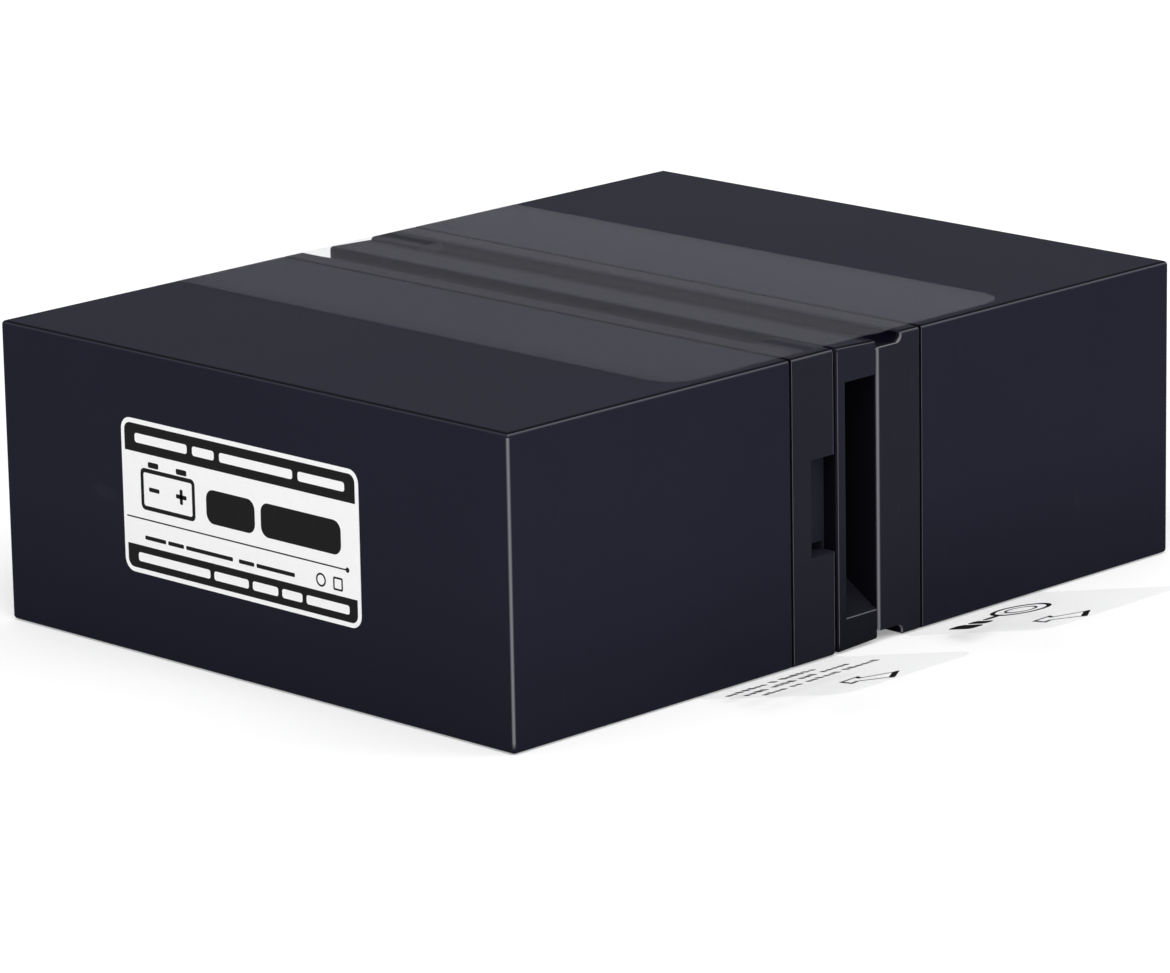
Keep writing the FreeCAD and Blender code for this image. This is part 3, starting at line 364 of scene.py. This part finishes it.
def makePlastic(name, look):
    material, tree, shader = newMaterial(name)
    common = plasticCommon
    skin = placeGroup(tree, mouldedSkin, {"Grain Scale": common["grainScale"]}).outputs
    rub = placeGroup(tree, edgeRub, {"Start": look["rub"][0], "Full": look["rub"][1]}).outputs
    zones = placeGroup(tree, packZones).outputs
    height = zones["Height"]
    body = mixColour(tree, skin["Cloud"], look["dark"], look["light"])
    body = mixColour(tree, remap(tree, height, 0.0, common["footFade"] * mm), look["foot"], body)
    marks = addMath(tree, "MULTIPLY", skin["Marks"], common["markShare"])
    body = mixColour(tree, marks, body, look["edge"])
    for zone in look["shaded"]:
        body = mixColour(tree, zones[zone], body, common["shade"])
    rim = addMath(tree, "MULTIPLY", zones["Top Rim"], common["rimShare"])
    body = mixColour(tree, rim, body, common["shade"])
    body = mixColour(tree, zones["Step"], body, common["stepShade"])
    # Rounded edges and the zones listed for each plastic get a painted highlight in the edge colour.
    aboveFoot = remap(tree, height, *(level * mm for level in common["rubFrom"]))
    worn = addMath(tree, "MULTIPLY", rub["Mask"], aboveFoot)
    worn = addMath(tree, "MULTIPLY", worn, zones["Edge Share"])
    if look["endsOnly"]:
        worn = addMath(tree, "MULTIPLY", worn, zones["Ends"])
    for zone in look["worn"]:
        worn = addMath(tree, "MAXIMUM", worn, zones[zone])
    colour = mixColour(tree, worn, body, look["edge"])
    smooth = remap(tree, skin["Cloud"], 0.0, 1.0, *common["sheen"])
    bump = addNode(tree, "Bump", {"Strength": common["bumpStrength"],
                                  "Distance": common["grainDepth"] * mm, "Height": skin["Height"]})
    feed(tree, shader, colour=colour, roughness=smooth, normal=bump.outputs[0])
    shader.inputs["Specular IOR Level"].default_value = common["specular"]
    return material


plainLooks = {
    "valveRubber": {"dark": grey(0.010), "light": grey(0.020),
                    "rough": (0.55, 0.75), "metal": 0.0, "scale": 700.0, "depth": 0.02},
    "tinnedBrass": {"dark": (0.50, 0.47, 0.40, 1), "light": (0.72, 0.70, 0.66, 1),
                    "rough": (0.22, 0.42), "metal": 1.0, "scale": 420.0, "depth": 0.01},
    "redPotting": {"dark": (0.25, 0.012, 0.010, 1), "light": (0.42, 0.022, 0.018, 1),
                   "rough": (0.18, 0.34), "metal": 0.0, "scale": 160.0, "depth": 0.05},
    "blackPotting": {"dark": grey(0.010), "light": grey(0.022),
                     "rough": (0.18, 0.34), "metal": 0.0, "scale": 160.0, "depth": 0.05},
    "plusPaste": {"dark": (0.085, 0.042, 0.028, 1), "light": (0.19, 0.105, 0.070, 1),
                  "rough": (0.75, 0.95), "metal": 0.0, "scale": 520.0, "depth": 0.12},
    "minusPaste": {"dark": (0.20, 0.21, 0.23, 1), "light": (0.36, 0.37, 0.39, 1),
                   "rough": (0.55, 0.80), "metal": 0.35, "scale": 520.0, "depth": 0.10},
    "glassMat": {"dark": (0.66, 0.66, 0.63, 1), "light": (0.86, 0.86, 0.84, 1),
                 "rough": (0.80, 0.95), "metal": 0.0, "scale": 1300.0, "depth": 0.08},
    "castLead": {"dark": (0.22, 0.23, 0.25, 1), "light": (0.45, 0.46, 0.48, 1),
                 "rough": (0.38, 0.62), "metal": 0.9, "scale": 260.0, "depth": 0.06},
}
plainCommon = {"bumpStrength": 0.5, "specular": 0.5}


def makePlain(name, look):
    material, tree, shader = newMaterial(name)
    spots = placeGroup(tree, speckle, {"Scale": look["scale"]}).outputs
    colour = mixColour(tree, spots["Mask"], look["dark"], look["light"])
    rough = remap(tree, spots["Mask"], 0.0, 1.0, *look["rough"])
    bump = addNode(tree, "Bump", {"Strength": plainCommon["bumpStrength"], "Distance": look["depth"] * mm,
                                  "Height": spots["Height"]})
    feed(tree, shader, colour=colour, roughness=rough, normal=bump.outputs[0])
    shader.inputs["Metallic"].default_value = look["metal"]
    shader.inputs["Specular IOR Level"].default_value = look.get("specular", plainCommon["specular"])
    return material


filmLook = {
    "colour": (0.205, 0.205, 0.240, 1),
    "haze": (0.235, 0.235, 0.270, 1),
    "hazeScale": 40.0,
    # Lighter film on the far side: a painted reflection.
    "farColour": (0.400, 0.400, 0.450, 1),
    "farFrom": (-25.0, 35.0),    # millimetres along X over which the painted reflection comes in
    "farAbove": 40.0,            # millimetres; below, as on the pull tabs, it stays out
    "alpha": 0.066,
    "rough": (0.20, 0.26),
    "specular": 0.04,
    "rippleScale": 55.0,
    "rippleDepth": 0.05,         # millimetres
    "bumpStrength": 0.4,
}


def makeFilm():
    material, tree, shader = newMaterial("clearFilm")
    spots = placeGroup(tree, speckle, {"Scale": filmLook["hazeScale"]}).outputs
    ripple = placeGroup(tree, speckle, {"Scale": filmLook["rippleScale"]}).outputs
    place = addNode(tree, "SeparateXYZ", {0: addNode(tree, "TexCoord").outputs["Object"]}).outputs
    # A painted reflection lightens the film towards the far side.
    further = remap(tree, place[0], *(reach * mm for reach in filmLook["farFrom"]))
    above = addMath(tree, "GREATER_THAN", place[2], filmLook["farAbove"] * mm)
    colour = mixColour(tree, spots["Mask"], filmLook["colour"], filmLook["haze"])
    colour = mixColour(tree, addMath(tree, "MULTIPLY", further, above), colour, filmLook["farColour"])
    rough = remap(tree, spots["Mask"], 0.0, 1.0, *filmLook["rough"])
    bump = addNode(tree, "Bump", {"Strength": filmLook["bumpStrength"],
                                  "Distance": filmLook["rippleDepth"] * mm, "Height": ripple["Height"]})
    feed(tree, shader, colour=colour, roughness=rough, normal=bump.outputs[0])
    shader.inputs["Alpha"].default_value = filmLook["alpha"]
    shader.inputs["Specular IOR Level"].default_value = filmLook["specular"]
    return material


paperLooks = {
    "labelPaper": {"dark": grey(0.92), "light": grey(0.94), "rough": (0.40, 0.46),
                   "metal": 0.0, "scale": 900.0, "depth": 0.004, "specular": 0.1},
    "labelInk": {"dark": grey(0.0115, 1.05), "light": grey(0.0135, 1.05), "rough": (0.40, 0.46),
                 "metal": 0.0, "scale": 900.0, "depth": 0.004, "specular": 0.02},
}

finishes = {name: makePlastic(name, look) for name, look in plasticLooks.items()}
finishes.update({name: makePlain(name, look) for name, look in {**plainLooks, **paperLooks}.items()})
finishes["clearFilm"] = makeFilm()


def camelName(slot):
    first, *rest = slot.split("_")
    return first + "".join(word.capitalize() for word in rest)


for entry in frame["record"]["subparts"]:
    mesh = frame["nodes"][entry["node"]].data
    mesh.materials.clear()
    mesh.materials.append(finishes[camelName(entry["material_slot"])])
print("finishes on the carried-over pieces")


# Meshes of the scene's own pieces.

def newPiece(name, bm, material, slotName, *replaced):
    mesh = bpy.data.meshes.new(name)
    bmesh.ops.recalc_face_normals(bm, faces=bm.faces)
    bm.to_mesh(mesh)
    bm.free()
    mesh.materials.append(finishes[material])
    piece = bpy.data.objects.new(name, mesh)
    bpy.context.scene.collection.objects.link(piece)
    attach(piece, "root")
    if replaced:
        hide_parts(*replaced)
    return piece


def spread(start, finish, count):
    return [start + (finish - start) * index / count for index in range(count + 1)]


def addSheet(bm, rows):
    grid = [[bm.verts.new(point) for point in row] for row in rows]
    for low, high in zip(grid, grid[1:]):
        for index in range(len(low) - 1):
            bm.faces.new((low[index], low[index + 1], high[index + 1], high[index]))


def cornerCut(corner, fromTip):
    # How far a rounded corner draws a sheet's edge in, at this distance from the sheet's end.
    return corner - math.sqrt(max(0.0, corner ** 2 - (corner - min(corner, fromTip)) ** 2))


def finishFilm(piece, thickness):
    piece.visible_shadow = False
    solid = piece.modifiers.new("thickness", "SOLIDIFY")
    solid.thickness = thickness
    solid.offset = 0.0
    for polygon in piece.data.polygons:
        polygon.use_smooth = True


topFilm = {
    "thickness": 0.16 * mm,
    "inset": 0.1 * mm,       # the sheet's middle under the solid film's face
    "fold": 1.0 * mm,
    "corner": 7.0 * mm,
    "sag": 0.22 * mm,        # between the lids' steps and the spine
    "stepInner": 6.3 * mm,   # the open step on each side of the spine
    "stepOuter": 14.2 * mm,
    "denseShare": 0.32,      # middle share of the width, with closer columns
    "sideColumns": 8,
    "denseColumns": 40,
    "cornerRows": 12,
    "topRows": 44,
    "foldRows": 6,
    "flapRows": 6,
}


def makeTopFilm():
    look = topFilm
    low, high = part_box("top_film")
    level = high.z - look["inset"]
    rear = high.y - look["inset"]
    fold, corner, dense = look["fold"], look["corner"], look["denseShare"]
    rail = [(y, level) for y in spread(low.y, low.y + corner, look["cornerRows"])]
    rail += [(y, level) for y in spread(low.y + corner, rear - fold, look["topRows"])[1:]]
    for turn in spread(0.0, math.pi / 2, look["foldRows"])[1:]:
        rail.append((rear - fold + fold * math.sin(turn), level - fold + fold * math.cos(turn)))
    rail += [(rear, z) for z in spread(level - fold, low.z, look["flapRows"])[1:]]
    stepMiddle = (look["stepInner"] + look["stepOuter"]) / 2
    stepHalf = (look["stepOuter"] - look["stepInner"]) / 2
    across = (spread(-1.0, -dense, look["sideColumns"]) + spread(-dense, dense, look["denseColumns"])[1:]
              + spread(dense, 1.0, look["sideColumns"])[1:])
    rows = []
    for y, z in rail:
        half = high.x - cornerCut(corner, y - low.y)
        row = []
        for share in across:
            x = half * share
            away = abs(abs(x) - stepMiddle) / stepHalf
            drop = look["sag"] * math.cos(away * math.pi / 2) if away < 1.0 and z == level else 0.0
            row.append((x, y, z - drop))
        rows.append(row)
    bm = bmesh.new()
    addSheet(bm, rows)
    finishFilm(newPiece("filmOverTop", bm, "clearFilm", "clear_film", "top_film"), look["thickness"])


pullFilm = {
    "thickness": 0.16 * mm,
    "inset": 0.1 * mm,
    "fold": 1.0 * mm,
    "nearWidth": 40.8 * mm,
    "farWidth": 44.0 * mm,
    "slit": 3.0 * mm,
    "bend": 11.9 * mm,
    "slope": math.radians(12.5),
    "run": 37.5 * mm,
    "corner": 5.0 * mm,
    "tabColumns": 8,
    "middleColumns": 4,
    "flapRows": 5,
    "foldRows": 6,
    "underRows": 30,
    "slitRows": 2,
    "bendRows": 5,
    "runRows": 10,
    "cornerRows": 12,
    "weld": 1e-7,
}


def bendPlace(level, turn):
    # Place on the bend at a tab's root: Y and Z after this turn.
    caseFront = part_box("container_near")[0].y
    bend = pullFilm["bend"]
    return caseFront - bend * math.sin(turn), level + bend * (1 - math.cos(turn))


def makePullFilm():
    look = pullFilm
    low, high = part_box("pull_film")
    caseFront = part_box("container_near")[0].y
    level = low.z + look["inset"]
    rear = high.y - look["inset"]
    fold, slope, corner, run = look["fold"], look["slope"], look["corner"], look["run"]
    under = [(rear, z) for z in spread(high.z, level + fold, look["flapRows"])]
    for turn in spread(0.0, math.pi / 2, look["foldRows"])[1:]:
        under.append((rear - fold + fold * math.cos(turn), level + fold - fold * math.sin(turn)))
    under += [(y, level) for y in spread(rear - fold, caseFront + look["slit"], look["underRows"])[1:]]

    # Each row of a tab: its Y and Z, and how far out it lies past the bend.
    tab = [(y, level, 0.0) for y in spread(caseFront + look["slit"], caseFront, look["slitRows"])]
    tab += [(*bendPlace(level, turn), 0.0) for turn in spread(0.0, slope, look["bendRows"])[1:]]
    rootY, rootZ = bendPlace(level, slope)
    lengths = spread(0.0, run - corner, look["runRows"])[1:]
    lengths += spread(run - corner, run, look["cornerRows"])[1:]
    tab += [(rootY - out * math.cos(slope), rootZ + out * math.sin(slope), out) for out in lengths]

    nearEdge = low.x + look["nearWidth"]
    farEdge = high.x - look["farWidth"]
    bm = bmesh.new()
    for left, right, columns, hasTab in ((low.x, nearEdge, look["tabColumns"], True),
                                         (nearEdge, farEdge, look["middleColumns"], False),
                                         (farEdge, high.x, look["tabColumns"], True)):
        addSheet(bm, [[(x, y, z) for x in spread(left, right, columns)] for y, z in under])
        if hasTab:
            rows = []
            for y, z, out in tab:
                drawn = cornerCut(corner, run - out)
                rows.append([(x, y, z) for x in spread(left + drawn, right - drawn, columns)])
            addSheet(bm, rows)
    bmesh.ops.remove_doubles(bm, verts=bm.verts, dist=look["weld"])
    finishFilm(newPiece("filmUnderneath", bm, "clearFilm", "clear_film", "pull_film"), look["thickness"])


makeTopFilm()
makePullFilm()
print("films made")


# Flat shapes in millimetres, for the label and the print on the tabs.

outlineSteps = {"corner": 6, "disc": 24}
barRounding = 0.3            # share of a bar's smaller side


def roundedBox(left, bottom, right, top, radii):
    # Radii run anticlockwise from the lower left corner; one number serves all four.
    if not isinstance(radii, tuple):
        radii = (radii,) * 4
    corners = ((left, bottom, 180), (right, bottom, 270), (right, top, 0), (left, top, 90))
    points = []
    for (x, y, angle), radius in zip(corners, radii):
        if radius == 0:
            points.append((x, y))
            continue
        centreX = x + radius if x == left else x - radius
        centreY = y + radius if y == bottom else y - radius
        for turn in spread(math.radians(angle), math.radians(angle + 90), outlineSteps["corner"]):
            points.append((centreX + radius * math.cos(turn), centreY + radius * math.sin(turn)))
    return points


def bar(left, bottom, width, height):
    return roundedBox(left, bottom, left + width, bottom + height, min(width, height) * barRounding)


def disc(x, y, radius):
    turns = spread(0.0, math.tau, outlineSteps["disc"])[:-1]
    return [(x + radius * math.cos(turn), y + radius * math.sin(turn)) for turn in turns]


def closeRing(bm, first, second):
    for index in range(len(first)):
        following = (index + 1) % len(first)
        bm.faces.new((first[index], first[following], second[following], second[index]))


def liftOutline(bm, outline, seat, height):
    # The seat turns flat places into the pack's frame.
    return [bm.verts.new(seat @ Vector((x * mm, y * mm, height * mm))) for x, y in outline]


def addSlab(bm, outline, seat, low, high):
    foot, top = [liftOutline(bm, outline, seat, height) for height in (low, high)]
    bm.faces.new(reversed(foot))
    bm.faces.new(top)
    closeRing(bm, foot, top)


def addLoop(bm, outer, inner, seat, low, high):
    # A closed band between two outlines that have the same number of points.
    outLow, outHigh, inLow, inHigh = [liftOutline(bm, outline, seat, height)
                                      for outline in (outer, inner) for height in (low, high)]
    for first, second in ((outLow, outHigh), (outHigh, inHigh), (inHigh, inLow), (inLow, outLow)):
        closeRing(bm, first, second)


def wordRow(left, bottom, height, widths, gap):
    bars = []
    for width in widths:
        bars.append(bar(left, bottom, width, height))
        left += width + gap
    return bars


labelPrint = {
    "width": 71.0,
    "height": 32.9,
    "corner": 2.75,
    "border": 1.0,
    "topBand": 7.0,
    "bottomBand": 6.0,
    "rule": 21.1,            # below the label's top edge
    "ruleThick": 0.3,
    "ruleEnd": 3.7,          # from the label's right edge
    "dot": 0.55,
    "paperLevel": 0.09,      # heights above the case's end
    "inkLevel": 0.11,
    "dotLevel": 0.12,
    "whiteLevel": 0.13,
    "wordStart": 4.2,
    "topWords": {"widths": (16.0, 6.6, 21.8, 13.6), "height": 2.0, "gap": 1.6},
    "bottomWords": {"widths": (22.0, 10.4, 7.6, 6.0, 12.6), "height": 1.9, "gap": 1.2},
    "smallWords": {6.4: (6.4, 4.8, 14.2), 35.0: (4.6, 11.4)},
    "smallRow": {"bottom": 7.5, "height": 0.85, "gap": 0.7},
    "plainWords": ((25.6, 14.4, 14.6, 7.2), (42.0, 14.4, 23.6, 7.2)),
    # A plain battery sign: two poles, a minus and a plus inside an outlined case.
    "signBars": ((8.0, 23.1, 3.2, 1.2), (16.6, 23.1, 3.2, 1.2), (8.1, 18.0, 3.2, 0.9),
                 (16.4, 18.0, 3.2, 0.9), (17.55, 16.85, 0.9, 3.2)),
    "signCase": ((5.6, 13.9, 22.2, 22.8, 1.2), (6.5, 14.8, 21.3, 21.9, 0.5)),
    "square": ((63.0, 7.0, 65.8, 9.8, 0.4), (63.4, 7.4, 65.4, 9.4, 0.2)),
    "ring": ((59.4, 8.4, 1.45), (59.4, 8.4, 1.05)),
}


def makeLabel():
    look = labelPrint
    low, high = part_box("label")
    # Across the label runs towards -Y, up it +Z, and out of it -X.
    seat = Matrix(((0, 0, -1, high.x), (-1, 0, 0, high.y), (0, 1, 0, low.z), (0, 0, 0, 1)))
    width, height, edge, corner = look["width"], look["height"], look["border"], look["corner"]
    paperLevel, inkLevel, whiteLevel = look["paperLevel"], look["inkLevel"], look["whiteLevel"]
    paper = bmesh.new()
    addSlab(paper, roundedBox(0, 0, width, height, corner), seat, 0.0, paperLevel)
    newPiece("labelSheet", paper, "labelPaper", "label_paper", "label")

    inner = corner - edge
    bandFoot = height - look["topBand"]
    ruleLevel = height - look["rule"]
    ruleEnd = width - look["ruleEnd"]
    half = look["ruleThick"] / 2
    shapes = [roundedBox(edge, bandFoot, width - edge, height - edge, (0, 0, inner, inner)),
              roundedBox(edge, edge, width - edge, look["bottomBand"], (inner, inner, 0, 0)),
              roundedBox(edge, ruleLevel - half, ruleEnd, ruleLevel + half, 0)]
    shapes += [bar(*place) for place in look["signBars"] + look["plainWords"]]
    small = look["smallRow"]
    for left, widths in look["smallWords"].items():
        shapes += wordRow(left, small["bottom"], small["height"], widths, small["gap"])
    ink = bmesh.new()
    for shape in shapes:
        addSlab(ink, shape, seat, paperLevel, inkLevel)
    addSlab(ink, disc(ruleEnd, ruleLevel, look["dot"]), seat, inkLevel, look["dotLevel"])
    for shape, (outer, hole) in ((roundedBox, look["signCase"]), (disc, look["ring"]),
                                 (roundedBox, look["square"])):
        addLoop(ink, shape(*outer), shape(*hole), seat, paperLevel, inkLevel)
    newPiece("labelPrint", ink, "labelInk", "label_paper")

    white = bmesh.new()
    for words, middle in ((look["topWords"], (bandFoot + height - edge) / 2),
                          (look["bottomWords"], (edge + look["bottomBand"]) / 2)):
        bottom = middle - words["height"] / 2
        for shape in wordRow(look["wordStart"], bottom, words["height"], words["widths"], words["gap"]):
            addSlab(white, shape, seat, inkLevel, whiteLevel)
    newPiece("labelWords", white, "labelPaper", "label_paper")


tabPrint = {
    "height": 0.05,          # print above the film's own top face
    "rows": {3.4: (7, 1, 6), 8.6: (4, 4, 3, 5), 13.8: (4, 2, 6, 6)},     # letters in each word
    "rowStart": 1.5,
    "rowDrop": 1.0,
    "letterWidth": 1.15,
    "letterHeight": 2.1,
    "letterGap": 0.55,
    "wordGap": 1.3,
    "tallShares": (0.72, 0.72, 1.0),
    "wideShares": (0.75, 1.05),
    # The arrow's half outlines run from the tip backwards: how far back, and how far to the side.
    "arrow": ((0.0, 0.0), (3.3, 4.8), (4.3, 2.3), (11.1, 3.6)),
    "hollow": ((0.9, 0.0), (2.9, 3.2), (3.7, 1.7), (10.5, 3.0)),
    "block": ((10.9, 4.1), (11.9, 4.1)),
    "turn": math.radians(36.0),
    "nearTip": (-35.4, 24.9),            # from the pack's middle, and out from the tab's root
    "farTip": (23.9, 24.9),
    "ring": (2.2, -8.7),                 # from the far tab's middle
    "ringRadii": ((6.6, 5.5), (3.6, 3.0)),
    "handle": ((-18.0, -12.6, 4.6, 7.0), (-12.4, -11.6, 3.0, 5.4), (-8.4, -8.6, 4.4, 1.6)),
}


def addLetters(bm, seat, left, level, words):
    # Rows of small blocks that stand for words.
    for count in words:
        for index in range(count):
            tall = tabPrint["letterHeight"] * random.choice(tabPrint["tallShares"])
            wide = tabPrint["letterWidth"] * random.uniform(*tabPrint["wideShares"])
            right, top = left + wide, level + tall
            addSlab(bm, [(left, level), (right, level), (right, top), (left, top)], seat,
                    0.0, tabPrint["height"])
            left += tabPrint["letterWidth"] + tabPrint["letterGap"]
        left += tabPrint["wordGap"]


def addArrow(bm, seat, left, out):
    # It points back at the pack.
    turn = tabPrint["turn"]

    def placed(half):
        both = list(half) + [(back, -side) for back, side in reversed(half) if side]
        return [(left + back * math.sin(turn) + side * math.cos(turn),
                 side * math.sin(turn) - back * math.cos(turn) - out) for back, side in both]

    thin = tabPrint["height"]
    addLoop(bm, placed(tabPrint["arrow"]), placed(tabPrint["hollow"]), seat, 0.0, thin)
    addSlab(bm, placed(tabPrint["block"]), seat, 0.0, thin)


def makeTabPrint():
    low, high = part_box("pull_film")
    slope = pullFilm["slope"]
    rootY, rootZ = bendPlace(low.z + pullFilm["inset"] + pullFilm["thickness"] / 2, slope)

    def tabSeat(left):
        # Across each tab runs +X, and along it outwards from the pack's edge.
        return Matrix(((1, 0, 0, left),
                       (0, math.cos(slope), math.sin(slope), rootY),
                       (0, -math.sin(slope), math.cos(slope), rootZ),
                       (0, 0, 0, 1)))

    thin = tabPrint["height"]
    ink = bmesh.new()
    seat = tabSeat(low.x)
    across, out = tabPrint["nearTip"]
    addArrow(ink, seat, across - low.x / mm, out)
    for row, words in tabPrint["rows"].items():
        addLetters(ink, seat, tabPrint["rowStart"], -row - tabPrint["rowDrop"], words)

    farLeft = high.x - pullFilm["farWidth"]
    middle = pullFilm["farWidth"] / mm / 2
    seat = tabSeat(farLeft)
    across, out = tabPrint["farTip"]
    addArrow(ink, seat, across - farLeft / mm, out)
    ringX, ringY = tabPrint["ring"]
    for radii in tabPrint["ringRadii"]:
        outer, inner = [disc(middle + ringX, ringY, radius) for radius in radii]
        addLoop(ink, outer, inner, seat, 0.0, thin)
    for left, bottom, width, height in tabPrint["handle"]:
        addSlab(ink, bar(middle + left, bottom, width, height), seat, 0.0, thin)
    newPiece("tabPrint", ink, "labelInk", "clear_film").visible_shadow = False


makeTabPrint()
makeLabel()
print("label and print made")


# Floor, light and camera.

floorLook = {
    "size": 12.0,
    "colour": (0.80, 0.80, 0.80, 1),
    "spots": grey(0.81),
    "spotScale": 3.0,
    "rough": 0.9,
    "specular": 0.1,
    "lift": 0.30,            # glow that only the eye sees
}


def makeFloor():
    bm = bmesh.new()
    bmesh.ops.create_grid(bm, x_segments=1, y_segments=1, size=floorLook["size"] / 2)
    mesh = bpy.data.meshes.new("studioFloor")
    bm.to_mesh(mesh)
    bm.free()
    floor = bpy.data.objects.new("studioFloor", mesh)
    bpy.context.scene.collection.objects.link(floor)
    material, tree, shader = newMaterial("studioPaper")
    mesh.materials.append(material)
    spots = placeGroup(tree, speckle, {"Scale": floorLook["spotScale"]}).outputs
    feed(tree, shader, colour=mixColour(tree, spots["Mask"], floorLook["colour"], floorLook["spots"]))
    shader.inputs["Roughness"].default_value = floorLook["rough"]
    shader.inputs["Specular IOR Level"].default_value = floorLook["specular"]
    shader.inputs["Emission Color"].default_value = (1, 1, 1, 1)
    glow = addMath(tree, "MULTIPLY", seenDirectly(tree), floorLook["lift"])
    tree.links.new(glow, shader.inputs["Emission Strength"])


studioLights = {
    "keySoftbox": {"place": (-1.1, -1.1, 2.3), "width": 1.6, "height": 1.6, "watts": 32.0},
    "frontStrip": {"place": (-1.7, -1.7, 0.55), "width": 0.5, "height": 0.9, "watts": 9.0},
    "sideSoftbox": {"place": (1.6, -1.8, 1.5), "width": 1.4, "height": 1.0, "watts": 16.0},
}
roomLight = {"strength": 0.62, "seen": 1.0}


def makeLights():
    for name, look in studioLights.items():
        lamp = bpy.data.lights.new(name, "AREA")
        lamp.shape = "RECTANGLE"
        lamp.size = look["width"]
        lamp.size_y = look["height"]
        lamp.energy = look["watts"]
        thing = bpy.data.objects.new(name, lamp)
        bpy.context.scene.collection.objects.link(thing)
        thing.location = look["place"]
        thing.rotation_mode = "QUATERNION"
        thing.rotation_quaternion = (-Vector(look["place"])).to_track_quat("-Z", "Y")
    world = bpy.data.worlds.new("studioRoom")
    bpy.context.scene.world = world
    world.use_nodes = True
    tree = world.node_tree
    tree.nodes.clear()
    strength = remap(tree, seenDirectly(tree), 0.0, 1.0, roomLight["strength"], roomLight["seen"])
    background = addNode(tree, "Background", {"Color": (1, 1, 1, 1), "Strength": strength})
    output = addNode(tree, "OutputWorld")
    tree.links.new(background.outputs[0], output.inputs["Surface"])


viewPoint = {
    "place": (-0.9320, -0.9206, 0.3626),
    "heading": 45.252,       # degrees from +Y towards +X
    "tilt": 14.571,          # degrees below the horizon
    "roll": -1.05,
    "lens": 194.3,
    "sensor": 36.0,
}


def makeCamera():
    heading = math.radians(viewPoint["heading"])
    tilt = math.radians(viewPoint["tilt"])
    level = math.cos(tilt)
    aim = Vector((level * math.sin(heading), level * math.cos(heading), -math.sin(tilt)))
    data = bpy.data.cameras.new("camera")
    data.lens = viewPoint["lens"]
    data.sensor_width = viewPoint["sensor"]
    camera = bpy.data.objects.new("camera", data)
    bpy.context.scene.collection.objects.link(camera)
    camera.location = viewPoint["place"]
    camera.rotation_mode = "QUATERNION"
    roll = Quaternion((0, 0, 1), math.radians(viewPoint["roll"]))
    camera.rotation_quaternion = aim.to_track_quat("-Z", "Y") @ roll
    bpy.context.scene.camera = camera


makeFloor()
makeLights()
makeCamera()
bpy.context.scene.view_settings.view_transform = "Standard"
print("studio ready")
